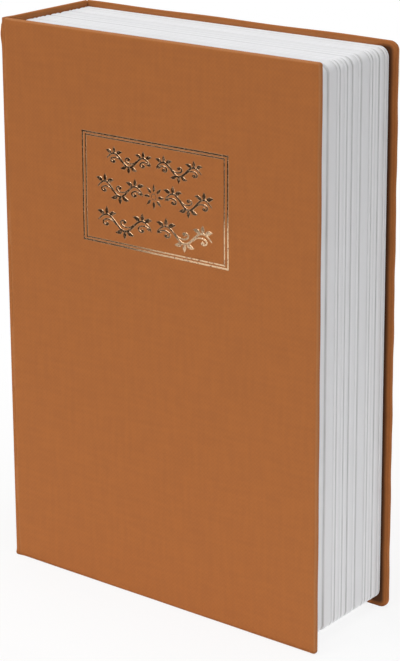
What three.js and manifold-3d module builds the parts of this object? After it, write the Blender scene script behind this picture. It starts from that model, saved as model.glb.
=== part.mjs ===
// Book diversion safe: a cloth-bound case round a moulded block of false pages, with a steel tray,
// a hinged inner lid and a cam lock. Millimetres. X runs from the spine to the fore-edge, Y from the
// front cover to the back cover and Z from the tail to the head, with the origin on the surface that
// the book stands on, under the middle of its box.

import * as THREE from 'three';
import { mergeVertices } from 'three/addons/utils/BufferGeometryUtils.js';
import Module from 'manifold-3d';

const wasm = await Module();
wasm.setup();

// The whole book
const BOOK_WIDTH = 158;
const BOOK_THICKNESS = 54;
const BOOK_HEIGHT = 236;

// Clearances and the overrun of every cut
const RUN_GAP = 0.3;
const GLUE_GAP = 0.1;
const CUT_OVER = 1;

// Boards, book cloth and endpaper
const BOARD = 1.8;
const CLOTH = 0.35;
const ENDPAPER = 0.2;
const TURN_IN = 12;
const ENDPAPER_BORDER = 3;
const EDGE_RADIUS = 0.6;
const EDGE_BEVEL = 0.45;
const SPINE_RADIUS = 1.2;
const FRONT_CORNER_RADIUS = 1.2;
const BACK_CORNER_RADIUS = 5;
const JOINT_GAP = 0.3;

// Moulded page block: its squares are how far the covers stand out past it
const FORE_SQUARE = 3;
const HEAD_SQUARE = 2.2;
const TAIL_SQUARE = 4;
const PAGE_CORNER_RADIUS = 6;
const PAGE_SPINE_RADIUS = 1.5;
const RIDGE_DEPTH = 0.9;
const PAGE_WALL = 2;
const POCKET_WALL = 1.6;
const RIB = 1.6;
const SIDE_RIM = 7.7;
const END_RIM = 5.1;
const RIM_FLOOR = 2;
const POCKET_GAP = 0.5;
const HEAD_CELLS = 6;
const FORE_CELLS = 8;
const BOSS_RADIUS = 3;
const BOSS_LENGTH = 11;

// The page ridges: where each groove lies from the front to the back of the block, and how deep
const GROOVE_PLACE_SHARES = [
  0.147, 0.266, 0.308, 0.367, 0.41, 0.483, 0.56, 0.604, 0.727, 0.766, 0.812, 0.861, 0.94, 0.972,
];
const GROOVE_DEPTH_SHARES = [1, 0.35, 1, 0.3, 0.85, 0.9, 0.3, 1, 0.4, 0.9, 0.3, 1, 0.45, 0.6];
const SWELL_STEPS = 5;
const SWELL_POWER = 2.6;

// Steel tray
const TRAY_SHEET = 0.8;
const TRAY_CORNER_RADIUS = 2.5;
const FLANGE_WIDTH = 7;
const FLANGE_CORNER_RADIUS = 4;
const TRAY_BACK_GAP = 2.2;

// Inner lid
const LID_RECESS = 2.6;
const LID_SHEET = 1;
const LID_LAP = 3;
const LID_SKIRT_DEPTH = 4;
const LID_SKIRT_GAP = 0.7;
const LID_CORNER_RADIUS = 3;

// Lid hinge
const KNUCKLE_RADIUS = 2;
const PIN_RADIUS = 0.9;
const PIN_HEAD_RADIUS = 1.7;
const PIN_HEAD_LENGTH = 0.8;
const HINGE_INSET = 14.5;
const KNUCKLES = 5;
const LEAF_DEPTH = 14;
const LEAF_SHEET = 0.8;
const TROUGH_REACH = 5.2;
const TROUGH_FLOOR_GAP = 0.5;

// Tray screws
const SCREW_RADIUS = 1;
const SCREW_HEAD_RADIUS = 1.8;
const SCREW_HEAD_HEIGHT = 1.2;
const SCREW_LENGTH = 8.5;
const SCREW_SLOT_WIDTH = 0.5;
const SCREW_SLOT_DEPTH = 0.5;
const SCREW_FROM_HINGE = 9;

// Cam lock
const LOCK_FROM_WALL = 18;
const BEZEL_RADIUS = 9.5;
const BEZEL_HEIGHT = 1.7;
const BEZEL_CHAMFER = 0.6;
const BARREL_RADIUS = 7.5;
const BARREL_FLATS = 13;
const BARREL_LENGTH = 13.2;
const PLUG_RADIUS = 5.5;
const PLUG_HEAD_RADIUS = 6.3;
const PLUG_HEAD_HEIGHT = 1.2;
const KEYWAY_WIDTH = 1.4;
const KEYWAY_HEIGHT = 7.6;
const KEYWAY_DEPTH = 9;
const TANG_SIZE = 5;
const TANG_LENGTH = 1.7;
const WASHER_RADIUS = 9.4;
const WASHER_SHEET = 0.6;
const WASHER_TEETH = 12;
const NUT_FLATS = 18;
const NUT_HEIGHT = 3;
const CAM_SHEET = 1.6;
const CAM_REACH = 15;
const CAM_HUB_RADIUS = 5;
const CAM_TIP_RADIUS = 3.5;
const CAM_SCREW_RADIUS = 1.5;
const CAM_SCREW_HEAD_RADIUS = 3.2;
const CAM_SCREW_HEAD_HEIGHT = 2;
const CAM_SCREW_DEPTH = 6;
const CAM_WASHER_RADIUS = 4.6;

// Strike bracket
const STRIKE_SHEET = 1.2;
const STRIKE_HEIGHT = 16;
const STRIKE_SKIRT_GAP = 1.5;
const STRIKE_REACH = 5.5;

// How finely round stretches are cut
const ARC_STEPS = 4;
const ROUND_SIDES = 24;
const BORE_SIDES = 16;

// Places that follow from the sizes above
const SPINE_X = -BOOK_WIDTH / 2;
const FORE_X = BOOK_WIDTH / 2;
const FRONT_Y = -BOOK_THICKNESS / 2;
const BACK_Y = BOOK_THICKNESS / 2;
const COVER = 2 * CLOTH + 2 * GLUE_GAP + BOARD;
const LINING = GLUE_GAP + ENDPAPER;
const FRONT_INNER_Y = FRONT_Y + COVER;
const BACK_INNER_Y = BACK_Y - COVER;
const SPINE_INNER_X = SPINE_X + COVER;

const PAGE_X0 = SPINE_INNER_X + RUN_GAP;
const PAGE_X1 = FORE_X - FORE_SQUARE;
const PAGE_Y0 = FRONT_INNER_Y + LINING + RUN_GAP;
const PAGE_Y1 = BACK_INNER_Y - GLUE_GAP;
const PAGE_Z0 = TAIL_SQUARE;
const PAGE_Z1 = BOOK_HEIGHT - HEAD_SQUARE;
const MIDDLE_Z = (PAGE_Z0 + PAGE_Z1) / 2;

// The front cover turns about the middle of its cloth at the corner of the spine
const COVER_PIVOT_X = SPINE_X + CLOTH;
const COVER_PIVOT_Y = FRONT_Y + CLOTH;
const FRONT_X0 = SPINE_X + SPINE_RADIUS + JOINT_GAP;
const SPINE_Y0 = FRONT_INNER_Y + LINING + RUN_GAP;

const LID_Y0 = PAGE_Y0 + LID_RECESS;
const LID_Y1 = LID_Y0 + LID_SHEET;
const FLANGE_Y0 = LID_Y1 + RUN_GAP;
const FLANGE_Y1 = FLANGE_Y0 + TRAY_SHEET;
const REBATE_Y = FLANGE_Y1 + GLUE_GAP;
const FLANGE_X1 = PAGE_X1 - SIDE_RIM - POCKET_GAP;
const FLANGE_Z0 = PAGE_Z0 + END_RIM + POCKET_GAP;
const FLANGE_Z1 = PAGE_Z1 - END_RIM - POCKET_GAP;

const TROUGH_X0 = PAGE_X0 + SIDE_RIM;
const HINGE_X = TROUGH_X0 + TROUGH_REACH;
const HINGE_Y = LID_Y0 + KNUCKLE_RADIUS;
const LEAF_X1 = HINGE_X + KNUCKLE_RADIUS;
const LEAF_X0 = LEAF_X1 - LEAF_SHEET;
const TROUGH_Y1 = HINGE_Y + KNUCKLE_RADIUS + TROUGH_FLOOR_GAP;

const TRAY_X0 = LEAF_X1 + RUN_GAP + TRAY_SHEET;
const TRAY_X1 = FLANGE_X1 - FLANGE_WIDTH - TRAY_SHEET;
const TRAY_Z0 = FLANGE_Z0 + FLANGE_WIDTH + TRAY_SHEET;
const TRAY_Z1 = FLANGE_Z1 - FLANGE_WIDTH - TRAY_SHEET;
const TRAY_Y1 = PAGE_Y1 - TRAY_BACK_GAP - TRAY_SHEET;

const LID_X0 = HINGE_X + KNUCKLE_RADIUS + RUN_GAP;
const LID_X1 = TRAY_X1 + LID_LAP;
const LID_Z0 = TRAY_Z0 - LID_LAP;
const LID_Z1 = TRAY_Z1 + LID_LAP;
const HINGE_Z0 = LID_Z0 + HINGE_INSET;
const HINGE_Z1 = LID_Z1 - HINGE_INSET;

const POCKET_X0 = LEAF_X0 - POCKET_GAP;
const POCKET_X1 = TRAY_X1 + TRAY_SHEET + POCKET_GAP;
const POCKET_Z0 = TRAY_Z0 - TRAY_SHEET - POCKET_GAP;
const POCKET_Z1 = TRAY_Z1 + TRAY_SHEET + POCKET_GAP;

const LOCK_X = TRAY_X1 - LOCK_FROM_WALL;
const BEZEL_Y1 = LID_Y0 - GLUE_GAP;
const BEZEL_Y0 = BEZEL_Y1 - BEZEL_HEIGHT;
const BARREL_Y1 = BEZEL_Y1 + BARREL_LENGTH;
const PLUG_Y1 = BARREL_Y1 + RUN_GAP;
const CAM_Y0 = PLUG_Y1 + GLUE_GAP;
const CAM_Y1 = CAM_Y0 + CAM_SHEET;
const STRIKE_X1 = TRAY_X1 - RUN_GAP;
const STRIKE_Y0 = LID_Y1 + LID_SKIRT_DEPTH + STRIKE_SKIRT_GAP;
const STRIKE_Y1 = CAM_Y0 - RUN_GAP;

const SCREW_X1 = (LID_X1 + FLANGE_X1) / 2;
const SCREW_X0 = HINGE_X + SCREW_FROM_HINGE;
const SCREW_Z0 = (LID_Z0 + FLANGE_Z0) / 2;
const SCREW_Z1 = (LID_Z1 + FLANGE_Z1) / 2;
const SCREW_PLACES = [
  [SCREW_X0, SCREW_Z0], [SCREW_X1, SCREW_Z0], [SCREW_X1, SCREW_Z1], [SCREW_X0, SCREW_Z1],
];

// Solids and booleans

function toSolid(geometry) {
  const bare = geometry.clone();
  bare.deleteAttribute('normal');
  bare.deleteAttribute('uv');
  const merged = mergeVertices(bare);
  return new wasm.Manifold(new wasm.Mesh({
    numProp: 3,
    vertProperties: new Float32Array(merged.attributes.position.array),
    triVerts: new Uint32Array(merged.index.array),
  }));
}

function toGeometry(solid) {
  const mesh = solid.getMesh();
  const geometry = new THREE.BufferGeometry();
  geometry.setAttribute('position', new THREE.BufferAttribute(new Float32Array(mesh.vertProperties), 3));
  geometry.setIndex(new THREE.BufferAttribute(new Uint32Array(mesh.triVerts), 1));
  geometry.computeVertexNormals();
  return geometry;
}

function joined(first, ...others) {
  return others.reduce((whole, other) => whole.add(other), first);
}

function cutBy(solid, ...cutters) {
  return cutters.reduce((rest, cutter) => rest.subtract(cutter), solid);
}

// A box between two planes on each axis
function box(x0, x1, y0, y1, z0, z1) {
  const geometry = new THREE.BoxGeometry(x1 - x0, y1 - y0, z1 - z0);
  return toSolid(geometry.translate((x0 + x1) / 2, (y0 + y1) / 2, (z0 + z1) / 2));
}

// The points of an arc, both ends included
function arcPoints(u, v, radius, start, end) {
  return Array.from({ length: ARC_STEPS + 1 }, (_, step) => {
    const angle = start + (end - start) * step / ARC_STEPS;
    return new THREE.Vector2(u + radius * Math.cos(angle), v + radius * Math.sin(angle));
  });
}

// A rectangle with its own radius at each corner, in the order low-low, high-low, high-high, low-high
function roundedCorners(u0, u1, v0, v1, radii) {
  const corners = [[u0, v0], [u1, v0], [u1, v1], [u0, v1]];
  const inward = [[1, 1], [-1, 1], [-1, -1], [1, -1]];
  return corners.flatMap(([u, v], corner) => {
    const radius = radii[corner];
    const [du, dv] = inward[corner];
    const start = Math.PI + corner * Math.PI / 2;
    if (radius === 0) return [new THREE.Vector2(u, v)];
    return arcPoints(u + du * radius, v + dv * radius, radius, start, start + Math.PI / 2);
  });
}

function roundedRectangle(u0, u1, v0, v1, radii) {
  return new THREE.Shape(roundedCorners(u0, u1, v0, v1, radii));
}

// A shape drawn in X and Z, made into a plate between two planes across Y
function plateAcrossY(shape, y0, y1, bevel = 0) {
  const geometry = new THREE.ExtrudeGeometry(shape, {
    depth: y1 - y0 - 2 * bevel,
    curveSegments: ARC_STEPS,
    bevelEnabled: bevel > 0,
    bevelThickness: bevel,
    bevelSize: bevel,
    bevelOffset: -bevel,
    bevelSegments: 2,
  });
  geometry.rotateX(Math.PI / 2);
  return toSolid(geometry.translate(0, y1 - bevel, 0));
}

// A shape drawn in X and Y, made into a length of section along Z
function sectionAlongZ(shape, z0, z1, bevel = 0) {
  const geometry = new THREE.ExtrudeGeometry(shape, {
    depth: z1 - z0 - 2 * bevel,
    curveSegments: ARC_STEPS,
    bevelEnabled: bevel > 0,
    bevelThickness: bevel,
    bevelSize: bevel,
    bevelOffset: -bevel,
    bevelSegments: 2,
  });
  return toSolid(geometry.translate(0, 0, z0 + bevel));
}

function rodAlongZ(x, y, radius, z0, z1, sides = ROUND_SIDES) {
  const geometry = new THREE.CylinderGeometry(radius, radius, z1 - z0, sides);
  geometry.rotateX(Math.PI / 2);
  return toSolid(geometry.translate(x, y, (z0 + z1) / 2));
}

function rodAcrossY(x, z, radius, y0, y1, sides = ROUND_SIDES) {
  const geometry = new THREE.CylinderGeometry(radius, radius, y1 - y0, sides);
  return toSolid(geometry.translate(x, (y0 + y1) / 2, z));
}

// A turned piece about an axis across Y: its profile is a list of [radius, y]
function turnedAcrossY(x, z, profile, sides = ROUND_SIDES) {
  const points = profile.map(([radius, y]) => new THREE.Vector2(radius, y));
  return toSolid(new THREE.LatheGeometry(points, sides).translate(x, 0, z));
}

// A closed skin through equal rings of points, with flat ends
function loft(rings) {
  const count = rings[0].length;
  const positions = rings.flat().flatMap((point) => [point.x, point.y, point.z]);
  const indices = [];
  for (let ring = 0; ring + 1 < rings.length; ring += 1) {
    for (let step = 0; step < count; step += 1) {
      const next = (step + 1) % count;
      const low = ring * count;
      const high = low + count;
      indices.push(low + step, high + next, low + next, low + step, high + step, high + next);
    }
  }
  const outline = rings[0].map((point) => new THREE.Vector2(point.x, point.z));
  const last = (rings.length - 1) * count;
  THREE.ShapeUtils.triangulateShape(outline, []).forEach(([a, b, c]) => {
    indices.push(a, b, c);
    indices.push(last + c, last + b, last + a);
  });
  const geometry = new THREE.BufferGeometry();
  geometry.setAttribute('position', new THREE.Float32BufferAttribute(positions, 3));
  geometry.setIndex(indices);
  return toSolid(geometry);
}

// Case: cloth and boards of the spine and the back cover

// The case's cloth as a full body in the shape of an L, before its boards and windows are cut out
function caseBody() {
  const quarter = Math.PI / 2;
  const section = new THREE.Shape([
    new THREE.Vector2(SPINE_INNER_X, SPINE_Y0),
    new THREE.Vector2(SPINE_INNER_X, BACK_INNER_Y),
    ...arcPoints(FORE_X - EDGE_RADIUS, BACK_INNER_Y + EDGE_RADIUS, EDGE_RADIUS, -quarter, 0),
    ...arcPoints(FORE_X - EDGE_RADIUS, BACK_Y - EDGE_RADIUS, EDGE_RADIUS, 0, quarter),
    ...arcPoints(SPINE_X + SPINE_RADIUS, BACK_Y - SPINE_RADIUS, SPINE_RADIUS, quarter, Math.PI),
    new THREE.Vector2(SPINE_X, SPINE_Y0),
  ]);
  const corners = roundedRectangle(SPINE_X - CUT_OVER, FORE_X, 0, BOOK_HEIGHT,
    [0, BACK_CORNER_RADIUS, BACK_CORNER_RADIUS, 0]);
  const length = sectionAlongZ(section, 0, BOOK_HEIGHT, EDGE_BEVEL);
  return length.intersect(plateAcrossY(corners, SPINE_Y0 - CUT_OVER, BACK_Y + CUT_OVER));
}

function caseCloth() {
  const boardRadius = BACK_CORNER_RADIUS - CLOTH;
  const backHollow = roundedRectangle(SPINE_X + CLOTH, FORE_X - CLOTH, CLOTH, BOOK_HEIGHT - CLOTH,
    [0, boardRadius, boardRadius, 0]);
  const spineHollow = box(SPINE_X + CLOTH, SPINE_INNER_X - CLOTH, SPINE_Y0 - CUT_OVER, BACK_INNER_Y,
    CLOTH, BOOK_HEIGHT - CLOTH);
  const backWindow = box(SPINE_INNER_X, FORE_X - TURN_IN, BACK_INNER_Y - CUT_OVER,
    BACK_INNER_Y + CLOTH + GLUE_GAP, TURN_IN, BOOK_HEIGHT - TURN_IN);
  const spineWindow = box(SPINE_INNER_X - CLOTH - GLUE_GAP, SPINE_INNER_X + CUT_OVER, SPINE_Y0 - CUT_OVER,
    BACK_INNER_Y, TURN_IN, BOOK_HEIGHT - TURN_IN);
  return cutBy(caseBody(), plateAcrossY(backHollow, BACK_INNER_Y + CLOTH, BACK_Y - CLOTH), spineHollow,
    backWindow, spineWindow);
}

function backBoard() {
  const skin = CLOTH + GLUE_GAP;
  const radius = BACK_CORNER_RADIUS - skin;
  const outline = roundedRectangle(SPINE_X + SPINE_RADIUS, FORE_X - skin, skin, BOOK_HEIGHT - skin,
    [0, radius, radius, 0]);
  return plateAcrossY(outline, BACK_INNER_Y + skin, BACK_Y - skin);
}

function spineBoard() {
  const skin = CLOTH + GLUE_GAP;
  return box(SPINE_X + skin, SPINE_INNER_X - skin, SPINE_Y0 + GLUE_GAP, BACK_INNER_Y - GLUE_GAP,
    skin, BOOK_HEIGHT - skin);
}

// The strip of cloth that bends where the front cover meets the spine
function frontJointCloth() {
  const centreX = SPINE_X + SPINE_RADIUS;
  const centreY = FRONT_Y + SPINE_RADIUS;
  const inner = SPINE_RADIUS - CLOTH;
  const end = SPINE_Y0 - GLUE_GAP;
  const strip = new THREE.Shape([
    new THREE.Vector2(SPINE_X, end),
    ...arcPoints(centreX, centreY, SPINE_RADIUS, Math.PI, 1.5 * Math.PI),
    ...arcPoints(centreX, centreY, inner, 1.5 * Math.PI, Math.PI),
    new THREE.Vector2(SPINE_X + CLOTH, end),
  ]);
  return sectionAlongZ(strip, 0, BOOK_HEIGHT);
}

// Front cover

function frontCloth() {
  const radii = [0, FRONT_CORNER_RADIUS, FRONT_CORNER_RADIUS, 0];
  const outline = roundedRectangle(SPINE_X, FORE_X, 0, BOOK_HEIGHT, radii);
  const hollowRadii = radii.map((radius) => Math.max(radius - CLOTH, 0));
  const hollow = roundedRectangle(SPINE_X - CUT_OVER, FORE_X - CLOTH, CLOTH, BOOK_HEIGHT - CLOTH,
    hollowRadii);
  const window = box(SPINE_X - CUT_OVER, FORE_X - TURN_IN, FRONT_INNER_Y - CLOTH - GLUE_GAP,
    FRONT_INNER_Y + CUT_OVER, TURN_IN, BOOK_HEIGHT - TURN_IN);
  const spineEnd = box(SPINE_X - CUT_OVER, FRONT_X0, FRONT_Y - CUT_OVER, FRONT_INNER_Y + CUT_OVER,
    -CUT_OVER, BOOK_HEIGHT + CUT_OVER);
  return cutBy(plateAcrossY(outline, FRONT_Y, FRONT_INNER_Y, EDGE_BEVEL),
    plateAcrossY(hollow, FRONT_Y + CLOTH, FRONT_INNER_Y - CLOTH), window, spineEnd);
}

function frontBoard() {
  const skin = CLOTH + GLUE_GAP;
  const radius = FRONT_CORNER_RADIUS - skin;
  const outline = roundedRectangle(FRONT_X0, FORE_X - skin, skin, BOOK_HEIGHT - skin,
    [0, radius, radius, 0]);
  return plateAcrossY(outline, FRONT_Y + skin, FRONT_INNER_Y - skin);
}

// The endpaper lies over the turned-in cloth, and its packing fills the window between the turn-ins
function frontEndpaper() {
  const sheet = box(FRONT_X0 + ENDPAPER_BORDER, FORE_X - ENDPAPER_BORDER, FRONT_INNER_Y + GLUE_GAP,
    FRONT_INNER_Y + LINING, ENDPAPER_BORDER, BOOK_HEIGHT - ENDPAPER_BORDER);
  const packing = box(FRONT_X0 + ENDPAPER_BORDER, FORE_X - TURN_IN - GLUE_GAP, FRONT_INNER_Y - CLOTH,
    FRONT_INNER_Y + LINING, TURN_IN + GLUE_GAP, BOOK_HEIGHT - TURN_IN - GLUE_GAP);
  return joined(sheet, packing);
}

// Page block

// How far the ridged face lies under its crests at each step from the front to the back
function ridgeStations() {
  const places = [0, ...GROOVE_PLACE_SHARES, 1];
  const depths = [GROOVE_DEPTH_SHARES[0], ...GROOVE_DEPTH_SHARES, GROOVE_DEPTH_SHARES[0]];
  const stations = [{ share: 0, depth: depths[0] * RIDGE_DEPTH }];
  for (let swell = 0; swell + 1 < places.length; swell += 1) {
    for (let step = 1; step <= SWELL_STEPS; step += 1) {
      const along = step / SWELL_STEPS;
      const side = along < 0.5 ? depths[swell] : depths[swell + 1];
      const under = 1 - (1 - Math.abs(2 * along - 1) ** SWELL_POWER) ** (1 / SWELL_POWER);
      const share = places[swell] + along * (places[swell + 1] - places[swell]);
      stations.push({ share, depth: side * under * RIDGE_DEPTH });
    }
  }
  return stations;
}

// The block's outline at one depth under the crests: nearly square at the spine, round at the fore-edge
function pageOutline(depth, y) {
  const radii = [PAGE_SPINE_RADIUS, PAGE_CORNER_RADIUS, PAGE_CORNER_RADIUS, PAGE_SPINE_RADIUS];
  return roundedCorners(PAGE_X0 + depth, PAGE_X1 - depth, PAGE_Z0 + depth, PAGE_Z1 - depth, radii)
    .map((point) => new THREE.Vector3(point.x, y, point.y));
}

function ridgedBody() {
  return loft(ridgeStations().map(({ share, depth }) => (
    pageOutline(depth, PAGE_Y0 + share * (PAGE_Y1 - PAGE_Y0))
  )));
}

// A row of hollow cells, cut from the back, with a rib between each two
function cellRow(count, from, to, makeCell) {
  const size = (to - from - (count - 1) * RIB) / count;
  return Array.from({ length: count }, (_, cell) => {
    const start = from + cell * (size + RIB);
    return makeCell(start, start + size);
  });
}

function pageCells() {
  const wall = RIDGE_DEPTH + PAGE_WALL;
  const front = REBATE_Y + RIM_FLOOR;
  const back = PAGE_Y1 + CUT_OVER;
  const headZ0 = POCKET_Z1 + POCKET_WALL;
  const headZ1 = PAGE_Z1 - wall;
  const tailZ0 = PAGE_Z0 + wall;
  const tailZ1 = POCKET_Z0 - POCKET_WALL;
  const rowX0 = PAGE_X0 + wall;
  const rowX1 = PAGE_X1 - PAGE_CORNER_RADIUS;
  const columnZ0 = POCKET_Z0 - POCKET_WALL + RIB;
  const columnZ1 = POCKET_Z1 + POCKET_WALL - RIB;
  return [
    ...cellRow(HEAD_CELLS, rowX0, rowX1, (x0, x1) => box(x0, x1, front, back, headZ0, headZ1)),
    ...cellRow(HEAD_CELLS, rowX0, rowX1, (x0, x1) => box(x0, x1, front, back, tailZ0, tailZ1)),
    ...cellRow(FORE_CELLS, columnZ0, columnZ1, (z0, z1) => (
      box(POCKET_X1 + POCKET_WALL, PAGE_X1 - wall, front, back, z0, z1))),
    ...cellRow(FORE_CELLS, columnZ0, columnZ1, (z0, z1) => (
      box(rowX0, POCKET_X0 - POCKET_WALL, TROUGH_Y1 + RIM_FLOOR, back, z0, z1))),
  ];
}

function pageBlock() {
  const pocket = roundedRectangle(POCKET_X0, POCKET_X1, POCKET_Z0, POCKET_Z1,
    Array(4).fill(TRAY_CORNER_RADIUS + TRAY_SHEET));
  const rebateRadius = FLANGE_CORNER_RADIUS + POCKET_GAP;
  const rebate = roundedRectangle(POCKET_X0, FLANGE_X1 + POCKET_GAP, FLANGE_Z0 - POCKET_GAP,
    FLANGE_Z1 + POCKET_GAP, [0, rebateRadius, rebateRadius, 0]);
  const troughZ0 = FLANGE_Z0 - POCKET_GAP;
  const troughZ1 = FLANGE_Z1 + POCKET_GAP;
  const hollowed = cutBy(ridgedBody(), ...pageCells());
  const bosses = SCREW_PLACES.map(([x, z]) => (
    rodAcrossY(x, z, BOSS_RADIUS, REBATE_Y, REBATE_Y + BOSS_LENGTH)));
  const holes = SCREW_PLACES.map(([x, z]) => (
    rodAcrossY(x, z, SCREW_RADIUS + RUN_GAP, REBATE_Y - CUT_OVER, REBATE_Y + SCREW_LENGTH, BORE_SIDES)));
  return cutBy(joined(hollowed, ...bosses),
    plateAcrossY(pocket, PAGE_Y0 - CUT_OVER, PAGE_Y1 + CUT_OVER),
    plateAcrossY(rebate, PAGE_Y0 - CUT_OVER, REBATE_Y),
    box(TROUGH_X0, POCKET_X0 + CUT_OVER, PAGE_Y0 - CUT_OVER, TROUGH_Y1, troughZ0, troughZ1),
    ...holes);
}

// Steel tray and its screws

function steelTray() {
  const equalRadii = (radius) => Array(4).fill(radius);
  const outside = roundedRectangle(TRAY_X0 - TRAY_SHEET, TRAY_X1 + TRAY_SHEET, TRAY_Z0 - TRAY_SHEET,
    TRAY_Z1 + TRAY_SHEET, equalRadii(TRAY_CORNER_RADIUS + TRAY_SHEET));
  const inside = roundedRectangle(TRAY_X0, TRAY_X1, TRAY_Z0, TRAY_Z1, equalRadii(TRAY_CORNER_RADIUS));
  const flange = roundedRectangle(TRAY_X0 - TRAY_SHEET, FLANGE_X1, FLANGE_Z0, FLANGE_Z1,
    [0, FLANGE_CORNER_RADIUS, FLANGE_CORNER_RADIUS, 0]);
  const pan = joined(plateAcrossY(outside, FLANGE_Y0, TRAY_Y1 + TRAY_SHEET),
    plateAcrossY(flange, FLANGE_Y0, FLANGE_Y1));
  const holes = SCREW_PLACES.map(([x, z]) => (
    rodAcrossY(x, z, SCREW_RADIUS + RUN_GAP, FLANGE_Y0 - CUT_OVER, FLANGE_Y1 + CUT_OVER, BORE_SIDES)));
  return cutBy(pan, plateAcrossY(inside, FLANGE_Y0 - CUT_OVER, TRAY_Y1), ...holes);
}

function trayScrew([x, z]) {
  const face = FLANGE_Y0 - GLUE_GAP;
  const top = face - SCREW_HEAD_HEIGHT;
  const tip = face + SCREW_LENGTH;
  const body = turnedAcrossY(x, z, [
    [0, top], [SCREW_HEAD_RADIUS - SCREW_HEAD_HEIGHT / 2, top],
    [SCREW_HEAD_RADIUS, face - SCREW_HEAD_HEIGHT / 2], [SCREW_HEAD_RADIUS, face],
    [SCREW_RADIUS, face], [SCREW_RADIUS, tip], [0, tip],
  ], BORE_SIDES);
  const slotLow = top - CUT_OVER;
  const slotHigh = top + SCREW_SLOT_DEPTH;
  const half = SCREW_SLOT_WIDTH / 2;
  return cutBy(body,
    box(x - SCREW_RADIUS, x + SCREW_RADIUS, slotLow, slotHigh, z - half, z + half),
    box(x - half, x + half, slotLow, slotHigh, z - SCREW_RADIUS, z + SCREW_RADIUS));
}

// Lid and its hinge

// The stretch of the hinge that one knuckle takes, with half the running gap off each end
function knuckleSpan(knuckle) {
  const pitch = (HINGE_Z1 - HINGE_Z0) / KNUCKLES;
  const z0 = HINGE_Z0 + knuckle * pitch;
  return [z0 + RUN_GAP / 2, z0 + pitch - RUN_GAP / 2];
}

const ALL_KNUCKLES = Array.from({ length: KNUCKLES }, (_, knuckle) => knuckle);
const TRAY_KNUCKLES = ALL_KNUCKLES.filter((knuckle) => knuckle % 2 === 0);
const LID_KNUCKLES = ALL_KNUCKLES.filter((knuckle) => knuckle % 2 === 1);

function hingeBore() {
  return rodAlongZ(HINGE_X, HINGE_Y, PIN_RADIUS + RUN_GAP, HINGE_Z0 - CUT_OVER, HINGE_Z1 + CUT_OVER,
    BORE_SIDES);
}

function lid() {
  const outline = roundedRectangle(LID_X0, LID_X1, LID_Z0, LID_Z1,
    [0, LID_CORNER_RADIUS, LID_CORNER_RADIUS, 0]);
  const skirtX0 = TRAY_X0 + LID_SKIRT_GAP;
  const skirtX1 = TRAY_X1 - LID_SKIRT_GAP;
  const skirtZ0 = TRAY_Z0 + LID_SKIRT_GAP;
  const skirtZ1 = TRAY_Z1 - LID_SKIRT_GAP;
  const radius = TRAY_CORNER_RADIUS;
  const skirtOutside = roundedRectangle(skirtX0, skirtX1, skirtZ0, skirtZ1, Array(4).fill(radius));
  const skirtInside = roundedRectangle(skirtX0 + LID_SHEET, skirtX1 - LID_SHEET, skirtZ0 + LID_SHEET,
    skirtZ1 - LID_SHEET, Array(4).fill(radius - LID_SHEET));
  skirtOutside.holes.push(skirtInside);
  const plate = plateAcrossY(outline, LID_Y0, LID_Y1);
  const skirt = plateAcrossY(skirtOutside, LID_Y1 - LID_SHEET / 2, LID_Y1 + LID_SKIRT_DEPTH);
  const tabs = LID_KNUCKLES.map((knuckle) => {
    const [z0, z1] = knuckleSpan(knuckle);
    return joined(box(HINGE_X, LID_X0 + CUT_OVER, LID_Y0, LID_Y1, z0, z1),
      rodAlongZ(HINGE_X, HINGE_Y, KNUCKLE_RADIUS, z0, z1));
  });
  return cutBy(joined(plate, skirt, ...tabs), hingeBore(), barrelShape(RUN_GAP, LID_Y0 - CUT_OVER,
    LID_Y1 + CUT_OVER));
}

function hingeLeaf() {
  const leaf = box(LEAF_X0, LEAF_X1, HINGE_Y, HINGE_Y + LEAF_DEPTH, HINGE_Z0 + RUN_GAP / 2,
    HINGE_Z1 - RUN_GAP / 2);
  const knuckles = TRAY_KNUCKLES.map((knuckle) => {
    const [z0, z1] = knuckleSpan(knuckle);
    return rodAlongZ(HINGE_X, HINGE_Y, KNUCKLE_RADIUS, z0, z1);
  });
  const notches = LID_KNUCKLES.map((knuckle) => {
    const [z0, z1] = knuckleSpan(knuckle);
    return box(LEAF_X0 - CUT_OVER, LEAF_X1 + CUT_OVER, HINGE_Y - CUT_OVER,
      HINGE_Y + KNUCKLE_RADIUS + RUN_GAP, z0 - RUN_GAP, z1 + RUN_GAP);
  });
  return cutBy(joined(leaf, ...knuckles), hingeBore(), ...notches);
}

function hingePin() {
  const z0 = HINGE_Z0 - RUN_GAP;
  const z1 = HINGE_Z1 + RUN_GAP;
  const into = PIN_HEAD_LENGTH / 2;
  return joined(rodAlongZ(HINGE_X, HINGE_Y, PIN_RADIUS, z0 - into, z1 + into, BORE_SIDES),
    rodAlongZ(HINGE_X, HINGE_Y, PIN_HEAD_RADIUS, z0 - PIN_HEAD_LENGTH, z0, BORE_SIDES),
    rodAlongZ(HINGE_X, HINGE_Y, PIN_HEAD_RADIUS, z1, z1 + PIN_HEAD_LENGTH, BORE_SIDES));
}

// Cam lock

// The lock's threaded barrel, round with two flats, grown by a clearance
function barrelShape(grow, y0, y1) {
  const round = rodAcrossY(LOCK_X, MIDDLE_Z, BARREL_RADIUS + grow, y0, y1, 2 * ROUND_SIDES);
  const half = BARREL_FLATS / 2 + grow;
  const reach = BARREL_RADIUS + grow + CUT_OVER;
  return round.intersect(box(LOCK_X - reach, LOCK_X + reach, y0, y1, MIDDLE_Z - half, MIDDLE_Z + half));
}

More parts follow.
